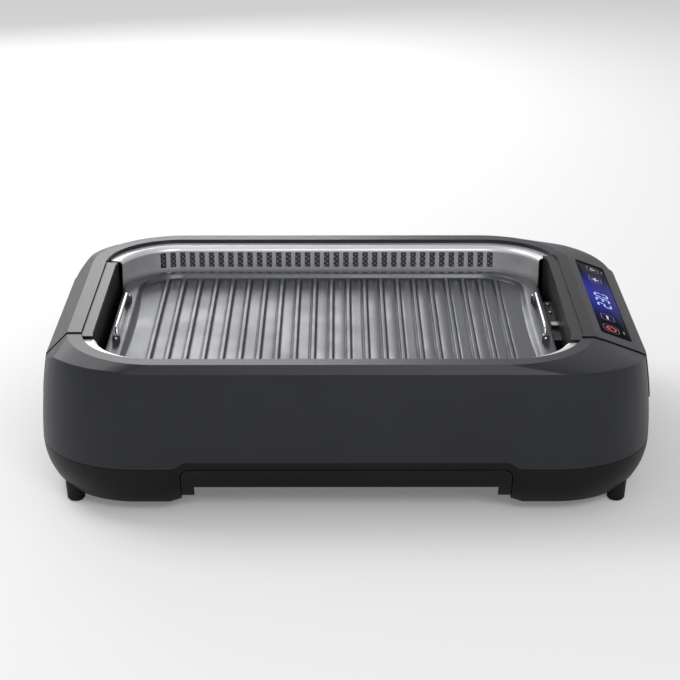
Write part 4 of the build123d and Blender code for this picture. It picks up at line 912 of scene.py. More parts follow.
@dataclass
class GrillPlate:
    """The cast plate: an edge, a sunk floor with bowed sides, and rounded ribs between fine grooves.

    The plate's width, depth, middle and heights come from the CAD node that it stands for.

    Args:
        radius: Corner radius.
        floor_drop: How far the floor lies under the edge.
        under_drop: How far the underside lies under the edge.
        skirt_wall: Thickness of the skirt.
        edge_radius: Radius of the edge's outer rounding.
        skirt_soft: Size of the bevel under the skirt.
        cook_half_x: Half the width of the sunk floor at the edge.
        cook_half_y: Half its depth there.
        cook_radius: Its corner radius there.
        slope_run: How far the slope runs from the edge to the floor.
        slope_even: Share of the slope's fall that is even, the rest being a smooth step.
        bow: How far the floor's left and right sides bow inwards.
        bow_start_x: Distance from the middle at which the bow begins.
        bow_fade: Width over which it comes to its full size.
        bow_half_y: Half the length of the bow.
        rib_pitch: Distance between ribs.
        rib_count: Number of ribs.
        rib_height: Height of a rib.
        rib_half_y: Half its length.
        rib_foot: Distance from its middle line to its foot.
        rib_flank: Width of its flank.
        rib_end: How far its round end reaches.
        rib_gap: Least distance from its end to the slope.
        groove: Depth of the groove beside it.
        groove_away: Distance of the groove from the rib's middle line.
        groove_half: Half the groove's width.
        hole_y: Place of the drain holes along Y.
        hole_radius: Radius of a drain hole.
        hole_count: Number of drain holes.
        hole_gap: Number of ribs from one hole to the next.
        hole_lip: Width of the rounding round a hole.
        hole_fall: Width over which a hole's wall falls.
        still_y: Half the stretch along Y where the rows lie far apart.
        near_end: Share of the way to the slope at which the rows lie close.
        centre_x: Middle of the plate along X.
        half_x: Half its width.
        half_y: Half its depth.
        top_z: Height of its edge.
        skirt_z: Height of its lower rim.
        floor_z: Height of the sunk floor.
        under_z: Height of the underside.
        hole_pitch: Distance between drain holes.
        hole_reach: Distance of the last hole from the middle.
    """

    radius: float = 50.0
    floor_drop: float = 4.2
    under_drop: float = 7.6
    skirt_wall: float = 4.0
    edge_radius: float = 1.6
    skirt_soft: float = 0.5
    cook_half_x: float = 182.4
    cook_half_y: float = 135.0
    cook_radius: float = 40.0
    slope_run: float = 2.4
    slope_even: float = 0.35
    bow: float = 4.2
    bow_start_x: float = 162.0
    bow_fade: float = 17.0
    bow_half_y: float = 110.0
    rib_pitch: float = 15.7
    rib_count: int = 21
    rib_height: float = 3.0
    rib_half_y: float = 128.0
    rib_foot: float = 2.55
    rib_flank: float = 1.3
    rib_end: float = 2.5
    rib_gap: float = 3.2
    groove: float = 0.35
    groove_away: float = 3.1
    groove_half: float = 0.5
    hole_y: float = -119.0
    hole_radius: float = 3.0
    hole_count: int = 6
    hole_gap: int = 3
    hole_lip: float = 0.35
    hole_fall: float = 0.5
    still_y: float = 86.0
    near_end: float = 0.62
    centre_x: float = field(init=False)
    half_x: float = field(init=False)
    half_y: float = field(init=False)
    top_z: float = field(init=False)
    skirt_z: float = field(init=False)
    floor_z: float = field(init=False)
    under_z: float = field(init=False)
    hole_pitch: float = field(init=False)
    hole_reach: float = field(init=False)

    def __post_init__(self) -> None:
        """Takes the outer sizes from the CAD node and works out what follows from them."""
        low, high = box_of("grill_plate")
        self.centre_x = round(float(low[0] + high[0]) / 2, 3)
        self.half_x = round(float(high[0] - low[0]) / 2, 3)
        self.half_y = round(float(high[1] - low[1]) / 2, 3)
        self.skirt_z, self.top_z = float(low[2]), float(high[2])
        self.floor_z = round(self.top_z - self.floor_drop, 3)
        self.under_z = round(self.top_z - self.under_drop, 3)
        self.hole_pitch = self.hole_gap * self.rib_pitch
        self.hole_reach = (self.hole_count - 1) / 2 * self.hole_pitch

    def rib_shape(self, away: np.ndarray) -> np.ndarray:
        """Height over the floor by distance from a rib's middle line.

        The height is the rib's height times a smooth step over its flank, less a groove with the
        shape of a bell, e to the power of minus the square of the distance from it.

        Args:
            away: Distances in millimetres.

        Returns:
            Heights in millimetres.
        """
        share = np.clip((self.rib_foot - away) / self.rib_flank, 0, 1)
        bell = np.exp(-((away - self.groove_away) / self.groove_half) ** 2)
        return self.rib_height * eased(share) - self.groove * bell

    def relief(self, x: np.ndarray, y: np.ndarray, end_y: np.ndarray) -> np.ndarray:
        """Height over the floor at each point: the nearest rib's shape, and the drain holes.

        Args:
            x: Place along X from the plate's middle.
            y: Place along Y.
            end_y: Half length of a rib at that X.

        Returns:
            Heights in millimetres.
        """
        last = (self.rib_count - 1) / 2 * self.rib_pitch
        rib = np.clip(np.round(x / self.rib_pitch) * self.rib_pitch, -last, last)
        past = np.maximum(np.abs(y) - (end_y - self.rib_end), 0)
        height = self.rib_shape(np.hypot(x - rib, past))
        away = self.hole_distance(x, y)
        sink = np.clip((self.hole_radius + self.hole_lip - away) / self.hole_fall, 0, 1)
        return height - (self.floor_z - self.under_z) * eased(sink)

    def hole_distance(self, x: np.ndarray, y: np.ndarray) -> np.ndarray:
        """Distance of each point from the middle of the nearest drain hole.

        Args:
            x: Place along X from the plate's middle.
            y: Place along Y.

        Returns:
            Distances in millimetres.
        """
        number = np.round((x + self.hole_reach) / self.hole_pitch)
        hole = np.clip(number * self.hole_pitch - self.hole_reach, -self.hole_reach, self.hole_reach)
        return np.hypot(x - hole, y - self.hole_y)

    def columns(self, half: float, radius: float) -> np.ndarray:
        """Places of the floor's columns along X: close over the ribs, holes and corners.

        Args:
            half: Half the floor's width.
            radius: Its corner radius.

        Returns:
            Places from the plate's middle, in order, none closer than the least gap.
        """
        least_gap, edge = 0.12, 1e-6
        ribs = (np.arange(self.rib_count) - (self.rib_count - 1) / 2) * self.rib_pitch
        steps = np.array([0, 0.7, 1.2, 1.5, 1.8, 2.1, 2.4, 2.75, 3.1, 3.5, 4.2])
        near = (ribs[:, None] + np.concatenate([-steps[:0:-1], steps])[None, :]).ravel()
        holes = (np.arange(self.hole_count) - (self.hole_count - 1) / 2) * self.hole_gap * self.rib_pitch
        rim = self.hole_radius * 1.2
        cups = (holes[:, None] + np.linspace(-rim, rim, 13)[None, :]).ravel()
        arc = half - radius + radius * np.sin(np.linspace(0, np.pi / 2, 22))
        places = np.unique(np.round(np.concatenate([near, cups, arc, -arc]), 3))
        places = places[np.abs(places) <= half + edge]
        keep = np.concatenate([[True], np.diff(places) > least_gap])
        keep[-1] = True
        return places[keep]

    def build(self) -> bpy.types.Object:
        """Makes the plate in one closed shell.

        The floor is a grid of columns along Y. Its border is the floor's outline, from which rings
        rise over the slope, the edge and the skirt and close underneath.

        Returns:
            The plate.
        """
        half_x, half_y = self.cook_half_x - self.slope_run, self.cook_half_y - self.slope_run
        radius = self.cook_radius - self.slope_run
        x = self.columns(half_x, radius)
        past = np.clip(np.abs(x) - (half_x - radius), 0, radius)
        chord = half_y - radius + np.sqrt(np.maximum(radius**2 - past**2, 0))
        share = np.concatenate([
            np.linspace(0, self.near_end, 12, endpoint=False), np.linspace(self.near_end, 1, 22),
        ])
        still = np.linspace(-1, 1, 5)[1:-1]
        beyond = self.still_y + (chord[:, None] - self.still_y) * share[None, :]
        between = np.broadcast_to(still * self.still_y, (len(x), len(still)))
        y = np.hstack([-beyond[:, ::-1], between, beyond])
        end_y = np.minimum(self.rib_half_y, chord - self.rib_gap)[:, None]
        z = self.floor_z + self.relief(x[:, None], y, end_y)
        grid_x = np.broadcast_to(x[:, None], y.shape)
        z = np.where((np.arange(len(x)) % (len(x) - 1) == 0)[:, None], self.floor_z, z)
        z[:, 0] = z[:, -1] = self.floor_z
        grid = np.stack([self.bowed(grid_x, y, 1.0) + self.centre_x, y, z], axis=-1)
        cut = self.hole_distance(grid_x, y) < self.hole_radius - self.hole_lip
        keep = ~(cut[:-1, :-1] & cut[1:, 1:] & cut[1:, :-1] & cut[:-1, 1:])
        shell = Shell("plate_casting")
        shell.add(grid, keep=keep, flip=True)
        shell.add(self.rings(self.border_keys(x, y, half_x, half_y, radius), half_x, half_y, radius),
                  wrap_columns=True)
        return shell.finish(outward=False, sharp=55.0)

    def bowed(self, x: np.ndarray, y: np.ndarray, share: float) -> np.ndarray:
        """Moves the floor's outer columns inwards.

        The move is the bow times 1 - (y / h)^2, where h is half the bow's length, faded in over X.

        Args:
            x: Place along X from the plate's middle.
            y: Place along Y.
            share: How much of the bow there is.

        Returns:
            The new places along X.
        """
        fade = np.clip((np.abs(x) - self.bow_start_x) / self.bow_fade, 0, 1)
        arch = np.clip(1 - (y / self.bow_half_y) ** 2, 0, 1)
        return x - np.sign(x) * self.bow * share * arch * fade

    def border_keys(self, x: np.ndarray, y: np.ndarray, half_x: float, half_y: float,
                    radius: float) -> np.ndarray:
        """Keys of the floor's border points, in order round it.

        Args:
            x: Places of the columns.
            y: Places of the rows by column.
            half_x: Half the floor's width.
            half_y: Half its depth.
            radius: Its corner radius.

        Returns:
            Side and share of each point.
        """
        flat_x, flat_y = half_x - radius, half_y - radius
        lean = np.arcsin(np.clip((np.abs(x) - flat_x) / radius, 0, 1)) / (np.pi / 2)
        run = np.abs(x) <= flat_x
        front = np.where(run, 0, np.where(x > 0, 4, 7))
        front_share = np.where(run, x / flat_x, np.where(x > 0, lean, 1 - lean))
        back = np.where(run, 2, np.where(x > 0, 5, 6))
        back_share = np.where(run, -x / flat_x, np.where(x > 0, 1 - lean, lean))
        side_y = y[-1, 1:-1] / flat_y
        return np.concatenate([
            np.stack([front, front_share], axis=1),
            np.stack([np.full(len(side_y), 1), side_y], axis=1),
            np.stack([back, back_share], axis=1)[::-1],
            np.stack([np.full(len(side_y), 3), side_y], axis=1),
        ])

    def rings(self, keys: np.ndarray, half_x: float, half_y: float, radius: float) -> np.ndarray:
        """Rings from the floor's border over the slope and the edge to the middle underneath.

        Args:
            keys: Keys of the border's points.
            half_x: Half the floor's width.
            half_y: Half its depth.
            radius: Its corner radius.

        Returns:
            Points by ring, place round it and axis.
        """
        floor = rounded_outline(half_x, half_y, radius, keys)
        cook = rounded_outline(self.cook_half_x, self.cook_half_y, self.cook_radius, keys)
        edge = rounded_outline(self.half_x, self.half_y, self.radius, keys)
        under = rounded_outline(self.half_x - self.skirt_wall, self.half_y - self.skirt_wall,
                                self.radius - self.skirt_wall, keys)
        rows = []
        depth = self.top_z - self.floor_z
        for share in np.linspace(0, 1, 9):
            rise = self.slope_even * share + (1 - self.slope_even) * eased(share)
            flat = floor + (cook - floor) * share
            flat = np.stack([self.bowed(flat[:, 0], flat[:, 1], 1 - share), flat[:, 1]], axis=1)
            rows.append(lifted(flat, self.floor_z + depth * rise))
        outward = (edge - cook) / np.linalg.norm(edge - cook, axis=1)[:, None]
        for angle in np.linspace(0, np.pi / 2, 6):
            inset = self.edge_radius * (1 - math.sin(angle))
            fall = self.edge_radius * (1 - math.cos(angle))
            rows.append(lifted(edge - outward * inset, self.top_z - fall))
        rows += [
            lifted(edge, self.skirt_z + self.skirt_soft),
            lifted(edge - outward * self.skirt_soft, self.skirt_z),
            lifted(under, self.skirt_z), lifted(under, self.under_z), lifted(under * 0.0, self.under_z),
        ]
        return np.stack(rows) + np.array([self.centre_x, 0.0, 0.0])


@dataclass
class Bail:
    """A wire bail of the plate: two pins, two legs and a bar, in one smooth bent wire.

    Args:
        side: -1 for the left bail and 1 for the right.
        plate_x: Middle of the plate along X.
        reach: Distance of the pivot line from that middle.
        pivot_z: Height of the pivot line.
        lean: Degrees that the bail leans outwards.
        wire: Radius of the wire.
        pin_y: Distance of a pin's end from the middle.
        leg_y: Distance of a leg's foot from the middle.
        bar_y: Distance of the bar's end from the middle.
        height: Height of the bar over the pivot line.
        bends: Radius of each bend in order.
    """

    side: int
    plate_x: float = -12.9
    reach: float = 187.8
    pivot_z: float = 113.8
    lean: float = 2.0
    wire: float = 1.7
    pin_y: float = 54.9
    leg_y: float = 47.0
    bar_y: float = 44.0
    height: float = 7.6
    bends: tuple[float, ...] = (2.4, 5.5, 5.5, 2.4)

    def build(self) -> bpy.types.Object:
        """Carries a circle along the bent line, which leans outwards, and domes both ends.

        Returns:
            The bail.
        """
        flat = np.array([
            (-self.pin_y, 0.0), (-self.leg_y, 0.0), (-self.bar_y, self.height),
            (self.bar_y, self.height), (self.leg_y, 0.0), (self.pin_y, 0.0),
        ])
        lean = math.radians(self.lean) * self.side
        up = np.array([math.sin(lean), 0.0, math.cos(lean)])
        across = np.array([math.cos(lean), 0.0, -math.sin(lean)])
        pivot = np.array([self.plate_x + self.side * self.reach, 0.0, self.pivot_z])
        route = pivot + flat[:, :1] * np.array([0.0, 1.0, 0.0]) + flat[:, 1:] * up
        shell = Shell("left_wire_bail" if self.side < 0 else "right_wire_bail")
        grid = tube_grid(bent_path(route, list(self.bends)), self.wire, across)
        shell.add(grid, wrap_columns=True)
        shell.cap(grid[0])
        shell.cap(grid[-1])
        return shell.finish()


@dataclass
class WellWall:
    """One half of the steel well: a flange, a bend and a drop, carried round two corners.

    Args:
        end: -1 for the front half and 1 for the slotted back half.
        left_y: Where the sheet ends at the left, by distance from the middle.
        right_y: Where it ends at the right.
        centre_x: Middle of the well along X.
        half_x: Half the width between the flange's outer edges.
        half_y: Half the depth between them.
        radius: Corner radius of the outer edge.
        top_z: Height of the flange.
        low_z: Height of the lower edge.
        flange: Width of the flange with its bend.
        bend: Radius of the bend.
        sheet: Thickness of the steel.
        tip: Radius of the flange's rounded ends.
        slot_x: Middle of the row of slots.
        slot_pitch: Distance between slots.
        slot_width: Width of a slot.
        slot_count: Number of slots.
        slot_z: Lower and upper end of a slot.
        slot_nip: Size of the bevel at its corners.
    """

    end: int
    left_y: float = 105.0
    right_y: float = 114.0
    centre_x: float = -11.75
    half_x: float = 212.35
    half_y: float = 159.6
    radius: float = 66.6
    top_z: float = 132.4
    low_z: float = 92.0
    flange: float = 12.3
    bend: float = 5.0
    sheet: float = 0.9
    tip: float = 4.0
    slot_x: float = -17.6
    slot_pitch: float = 9.3
    slot_width: float = 5.4
    slot_count: int = 35
    slot_z: tuple[float, float] = (111.9, 127.2)
    slot_nip: float = 0.4

    def profile(self) -> np.ndarray:
        """Profile of the sheet: flat, then a quarter turn of the bend's radius, then straight down.

        Returns:
            Distance from the outer edge and height of each point.
        """
        run, hair = self.flange - self.bend, 0.01
        flat = np.column_stack([np.linspace(0, run, 8), np.full(8, self.top_z)])
        angle = np.linspace(0, np.pi / 2, 9)[1:]
        bend = np.stack([run + self.bend * np.sin(angle),
                         self.top_z - self.bend + self.bend * np.cos(angle)], axis=1)
        low, high = self.slot_z
        rows = np.array([high - hair, high - self.slot_nip, low + self.slot_nip, low, self.low_z])
        drop = np.stack([np.full(len(rows), self.flange), rows], axis=1)
        return np.concatenate([flat, bend, drop])

    def stations(self) -> np.ndarray:
        """Places along X at the edges of the slots, or evenly spread where there are none.

        Returns:
            Places from the middle of the well.
        """
        if self.end < 0:
            inner = self.half_x - self.radius
            return np.linspace(-inner, inner, 25)
        middle = self.slot_x - self.centre_x
        places = middle + (np.arange(self.slot_count) - (self.slot_count - 1) / 2) * self.slot_pitch
        half, nip = self.slot_width / 2, self.slot_nip
        return (places[:, None] + np.array([-half, -half + nip, half - nip, half])[None, :]).ravel()

    def corner(self, offset: np.ndarray, stop: float, sign: int) -> np.ndarray:
        """Points round one corner from the cut to the straight run, by profile place and station.

        The angle runs from arcsin((stop - flat) / r) to 90 degrees, where r is the corner radius
        less the offset, so that every row ends on the same straight cut.

        Args:
            offset: Distance of each row from the outer edge.
            stop: Distance of the cut from the middle.
            sign: -1 for the left corner and 1 for the right.

        Returns:
            X and Y.
        """
        flat_x, flat_y = self.half_x - self.radius, self.half_y - self.radius
        radius = self.radius - offset
        nip = self.tip - np.sqrt(np.maximum(self.tip**2 - np.maximum(self.tip - offset, 0) ** 2, 0))
        start = np.arcsin(np.clip((stop + nip - flat_y) / radius, 0, 1))
        first, clear_start, clear_end = 0.002, 0.05, 0.995
        beyond = (sign * self.stations() - flat_x) / radius[-1]
        slots = np.arccos(beyond[(beyond > first) & (beyond < 1)])
        share = (slots - start[-1]) / (np.pi / 2 - start[-1])
        share = share[(share > clear_start) & (share < clear_end)]
        share = np.sort(np.concatenate([np.linspace(0, 1, 22), share]))
        angle = start[:, None] + (np.pi / 2 - start[:, None]) * share[None, :]
        x = sign * (flat_x + radius[:, None] * np.cos(angle))
        y = flat_y + radius[:, None] * np.sin(angle)
        return np.stack([x, y], axis=-1)

    def build(self) -> bpy.types.Object:
        """Makes the sheet as one grid with the slots' cells left out, then gives it its thickness.

        Returns:
            The half.
        """
        profile = self.profile()
        offset, height = profile[:, 0], profile[:, 1]
        run = self.stations()
        run = run[np.abs(run) < self.half_x - self.radius - 0.1]
        straight = np.stack(np.broadcast_arrays(run[None, :], (self.half_y - offset)[:, None]), axis=-1)
        flat = np.concatenate([
            self.corner(offset, self.left_y, -1), straight, self.corner(offset, self.right_y, 1)[:, ::-1],
        ], axis=1)
        grid = np.concatenate([flat, np.broadcast_to(height[:, None, None], (*flat.shape[:2], 1))], axis=-1)
        grid = grid * np.array([1.0, float(self.end), 1.0]) + np.array([self.centre_x, 0.0, 0.0])
        keep = None
        if self.end > 0:
            x = (grid[:-1, :-1, 0] + grid[:-1, 1:, 0]) / 2
            z = (grid[:-1, :-1, 2] + grid[1:, :-1, 2]) / 2
            place = (x - self.slot_x) / self.slot_pitch + (self.slot_count - 1) / 2
            away = np.abs(place - np.round(place)) * self.slot_pitch
            inside = (np.round(place) >= 0) & (np.round(place) < self.slot_count)
            low, high = self.slot_z
            tall = (z < high) & (z > low)
            at_end = (z > high - self.slot_nip) | (z < low + self.slot_nip)
            corner = (away > self.slot_width / 2 - self.slot_nip) & at_end
            keep = ~(inside & (away < self.slot_width / 2) & tall & ~corner)
        shell = Shell("front_steel_wall" if self.end < 0 else "slotted_steel_wall")
        shell.add(grid, keep=keep, flip=self.end > 0)
        piece = shell.finish(outward=False)
        wall = piece.modifiers.new("sheet", "SOLIDIFY")
        wall.thickness = self.sheet * MM
        wall.offset = -1.0
        return piece


@dataclass
class FilterMesh:
    """The woven filter behind the slots, in the place of the CAD node that it stands for.

    Args:
        pitch: Distance between wires.
        relief: Half the depth of the weave.
        sheet: Thickness of the mesh.
    """

    pitch: float = 2.3
    relief: float = 0.3
    sheet: float = 0.5

    def build(self) -> bpy.types.Object:
        """Makes a sheet whose depth is the relief times 1 - sin(pi x / p) sin(pi z / p).

        Returns:
            The filter.
        """
        low, high = box_of("grease_filter")
        width, _, height = np.round(high - low, 3)
        x = np.arange(0, width, self.pitch / 5)
        z = np.linspace(0, height, 38)
        x_grid, z_grid = np.meshgrid(x, z, indexing="ij")
        turn = np.pi / self.pitch
        weave = 1 - np.sin(turn * x_grid) * np.sin(turn * z_grid)
        grid = low + np.stack([x_grid, self.relief * weave, z_grid], axis=-1)
        shell = Shell("woven_filter")
        shell.add(grid)
        piece = shell.finish(outward=False, sharp=89.0)
        wall = piece.modifiers.new("sheet", "SOLIDIFY")
        wall.thickness = self.sheet * MM
        wall.offset = -1.0
        return piece


@dataclass
class Slope:
    """The plane of the control slope, with u down the slope, v towards the back and w outwards.

    Args:
        origin: Where u, v and w are zero.
        rise: The slope's angle in degrees.
    """

    origin: tuple[float, float, float] = (210.6, 6.2, 137.0)
    rise: float = math.degrees(math.atan2(1.0, 2.7))

    def place(self, points: np.ndarray) -> np.ndarray:
        """Turns (u, v, w) into the object's own X, Y and Z.

        Args:
            points: Points by u, v and w.

        Returns:
            The points by X, Y and Z.
        """
        cosine, sine = math.cos(math.radians(self.rise)), math.sin(math.radians(self.rise))
        axes = np.array([(cosine, 0.0, -sine), (0.0, 1.0, 0.0), (sine, 0.0, cosine)])
        return np.asarray(self.origin) + points @ axes

    def slab(self, shell: Shell, outline: np.ndarray, low: float, high: float, soft: float = 0.0) -> None:
        """Adds a flat slab to a shell, with a rounded upper edge.

        Args:
            shell: The shell that it joins.
            outline: Points of the outline by u and v.
            low: w of the underside.
            high: w of the top.
            soft: Radius of the upper edge.
        """
        middle = outline.mean(axis=0)
        inward = middle - outline
        inward = inward / np.linalg.norm(inward, axis=1)[:, None]
        rings = [lifted(outline, low), lifted(outline, high - soft)]
        for angle in np.linspace(0, np.pi / 2, 5)[1:] if soft else ():
            rings.append(lifted(outline + inward * soft * (1 - math.cos(angle)),
                                high - soft * (1 - math.sin(angle))))
        rings = [self.place(ring) for ring in rings]
        shell.add(np.stack(rings), wrap_columns=True)
        shell.cap(rings[0], flip=True)
        shell.cap(rings[-1])

    def stroke(self, shell: Shell, path: np.ndarray, width: float, low: float, high: float,
               closed: bool = False) -> None:
        """Adds a flat line of even width along a path of u and v points.

        Args:
            shell: The shell that it joins.
            path: Points of its middle line.
            width: Its width.
            low: w of its underside.
            high: w of its top.
            closed: Whether the line joins its own start.
        """
        if closed:
            ahead = np.roll(path, -1, axis=0) - np.roll(path, 1, axis=0)
        else:
            ahead = np.gradient(path, axis=0)
        ahead = ahead / np.linalg.norm(ahead, axis=1)[:, None]
        side = np.stack([-ahead[:, 1], ahead[:, 0]], axis=1) * width / 2
        ring = [lifted(path + side, low), lifted(path + side, high),
                lifted(path - side, high), lifted(path - side, low)]
        grid = self.place(np.stack(ring, axis=1).reshape(-1, 3)).reshape(len(path), 4, 3)
        shell.add(grid, wrap_rows=closed, wrap_columns=True)
        if not closed:
            shell.cap(grid[0], flip=True)
            shell.cap(grid[-1])


@dataclass
class ControlGlass:
    """The smoked glass of the controls, with what lights up just under its face.

    Args:
        slope: The plane that it lies in.
        start: u of its upper edge.
        width: Its width down the slope.
        length: Its length.
        radius: Its corner radius.
        top: w of its face.
        thickness: Its thickness.
        soft: Radius of its edge.
        digit_u: u of the numerals' middle.
        digit_v: v of the middle numeral.
        digit_height: Height of a numeral.
        digit_width: Its width.
        digit_pitch: Distance between numerals.
        bar_gap: Distance of a numeral's bar from the corners.
        bar_point: Length of a bar's pointed end.
        line: Width of a numeral's bar and of the plus.
        minus_line: Width of the minus.
        frame_line: Width of the key frames.
        sign_line: Width of the small signs.
        petal_line: Width of the fan's outline.
        power_line: Width of the power sign.
        relief: Height of the lit marks.
        fan_key: u and v of the fan key's middle.
        plus_key: u and v of the plus key's middle.
        minus_key: u and v of the minus key's middle.
        minus_mark: u and v of the minus itself.
        power_key: u and v of the power key's middle.
    """

    slope: Slope
    start: float = 7.5
    width: float = 28.3
    length: float = 197.0
    radius: float = 3.0
    top: float = -0.4
    thickness: float = 2.0
    soft: float = 0.6
    digit_u: float = 21.9
    digit_v: float = -4.4
    digit_height: float = 12.0
    digit_width: float = 8.2
    digit_pitch: float = 13.4
    bar_gap: float = 0.3
    bar_point: float = 0.9
    line: float = 1.7
    minus_line: float = 1.8
    frame_line: float = 0.4
    sign_line: float = 1.0
    petal_line: float = 0.7
    power_line: float = 1.3
    relief: float = 0.05
    fan_key: tuple[float, float] = (23.3, 83.2)
    plus_key: tuple[float, float] = (22.3, 53.2)
    minus_key: tuple[float, float] = (20.0, -50.9)
    minus_mark: tuple[float, float] = (19.9, -50.9)
    power_key: tuple[float, float] = (19.4, -79.9)

    def glass(self) -> bpy.types.Object:
        """Returns the slab with its soft edge."""
        outline = rounded_outline(self.width / 2, self.length / 2, self.radius, even_keys(8, 8))
        shell = Shell("smoked_pane")
        self.slope.slab(shell, outline + np.array([self.start + self.width / 2, 0.0]),
                        self.top - self.thickness, self.top, self.soft)
        return shell.finish()

    def digit(self, shell: Shell, segments: str, v: float) -> None:
        """Adds one numeral of up to seven bars.

        Args:
            shell: The shell that it joins.
            segments: Letters a to g of the bars that are lit.
            v: v of the numeral's middle.
        """
        up, out = self.digit_height / 2, self.digit_width / 2
        ends = {
            "a": ((-up, -out), (-up, out)), "b": ((-up, out), (0, out)), "c": ((0, out), (up, out)),
            "d": ((up, -out), (up, out)), "e": ((0, -out), (up, -out)), "f": ((-up, -out), (0, -out)),
            "g": ((0, -out), (0, out)),
        }
        for letter in segments:
            first, last = (np.array(end, float) for end in ends[letter])
            ahead = (last - first) / np.linalg.norm(last - first)
            first, last = first + ahead * self.bar_gap, last - ahead * self.bar_gap
            point = ahead * self.bar_point
            bar = np.stack([first, first + point, last - point, last])
            side = np.array([-ahead[1], ahead[0]]) * self.line / 2
            lens = np.concatenate([bar[:1], bar[1:3] + side, bar[3:], (bar[1:3] - side)[::-1]])
            place = np.array([self.digit_u, self.digit_v + v])
            self.slope.slab(shell, lens + place, self.top, self.top + self.relief)

    def digits(self) -> bpy.types.Object:
        """Returns the three numerals of the display."""
        shell = Shell("lit_digits")
        for number, segments in enumerate(("abged", "abgcd", "abcdef")):
            self.digit(shell, segments, (number - 1) * self.digit_pitch)
        return shell.finish()

    def ring(self, shell: Shell, u: float, v: float, half_u: float, half_v: float, radius: float,
             width: float) -> None:
        """Adds a rounded frame as a closed line.

        Args:
            shell: The shell that it joins.
            u: u of its middle.
            v: v of its middle.
            half_u: Half its size along u.
            half_v: Half its size along v.
            radius: Its corner radius.
            width: Width of its line.
        """
        doubled = 1e-6
        outline = rounded_outline(half_u, half_v, radius, even_keys(3, 7))
        gap = np.linalg.norm(np.diff(outline, axis=0, append=outline[:1]), axis=1)
        outline = outline[gap > doubled] + np.array([u, v])
        self.slope.stroke(shell, outline, width, self.top, self.top + self.relief, closed=True)

    def frames(self) -> bpy.types.Object:
        """Makes the faint frames round the keys and the two small signs at the lower edge.

        Returns:
            The frames.
        """
        shell = Shell("key_frames")
        for key, half_u, half_v, corner in (
            (self.fan_key, 5.6, 6.6, 2.2), (self.plus_key, 6.0, 7.2, 2.4),
            (self.minus_key, 6.0, 7.2, 2.4), (self.power_key, 7.2, 8.6, 4.6),
        ):
            self.ring(shell, *key, half_u, half_v, corner, self.frame_line)
        high = self.top + self.relief
        for start, end in (((32.8, 80.4), (32.8, 85.6)), ((31.2, -83.4), (31.2, -76.4))):
            self.slope.stroke(shell, np.linspace(start, end, 3), self.sign_line, self.top, high)
        return shell.finish()

    def marks(self) -> bpy.types.Object:
        """Makes the pale marks: the fan's three blades, plus and minus.

        The blades' line has the radius 2.1 + 0.9 cos 3a, narrowed a little along u.

        Returns:
            The marks.
        """
        shell = Shell("pale_marks")
        high = self.top + self.relief
        turn = np.linspace(0, 2 * np.pi, 40, endpoint=False)
        petal = 2.1 + 0.9 * np.cos(3 * turn)
        blades = np.stack([petal * np.cos(turn) * 0.9, petal * np.sin(turn)], axis=1)
        self.slope.stroke(shell, np.array(self.fan_key) + blades, self.petal_line, self.top, high,
                          closed=True)
        for middle, half, width in (
            (self.plus_key, (0.0, 4.2), self.line), (self.plus_key, (3.7, 0.0), self.line),
            (self.minus_mark, (0.0, 4.5), self.minus_line),
        ):
            bar = np.array(middle) + np.linspace(-1, 1, 3)[:, None] * np.array(half)
            self.slope.stroke(shell, bar, width, self.top, high)
        return shell.finish()

    def power(self) -> bpy.types.Object:
        """Makes the red power sign: most of an oval ring, open where a short bar stands.

        Returns:
            The sign.
        """
        shell = Shell("red_power_sign")
        half_u, half_v, bar = 4.4, 4.9, (-5.2, -0.4)
        high = self.top + self.relief
        turn = np.linspace(math.radians(205.0), math.radians(515.0), 36)
        arc = np.stack([half_u * np.cos(turn), half_v * np.sin(turn)], axis=1)
        short = np.stack([np.linspace(*bar, 3), np.zeros(3)], axis=1)
        for path in (arc, short):
            self.slope.stroke(shell, np.array(self.power_key) + path, self.power_line, self.top, high)
        return shell.finish()


@dataclass(frozen=True)
class SoftBox:
    """One soft box of the studio.

    Args:
        name: The lamp's name.
        place: Where it stands, in metres.
        aim: The point that it faces, in metres.
        size: Width and height in metres.
        watts: Its power.
    """

    name: str
    place: tuple[float, float, float]
    aim: tuple[float, float, float]
    size: tuple[float, float]
    watts: float

    def build(self) -> None:
        """Puts up the lamp."""
        data = bpy.data.lights.new(self.name, "AREA")
        data.shape = "RECTANGLE"
        data.size, data.size_y = self.size
        data.energy = self.watts
        lamp = bpy.data.objects.new(self.name, data)
        lamp.location = self.place
        facing = Vector(self.aim) - Vector(self.place)
        lamp.rotation_euler = facing.to_track_quat("-Z", "Y").to_euler()
        bpy.context.scene.collection.objects.link(lamp)


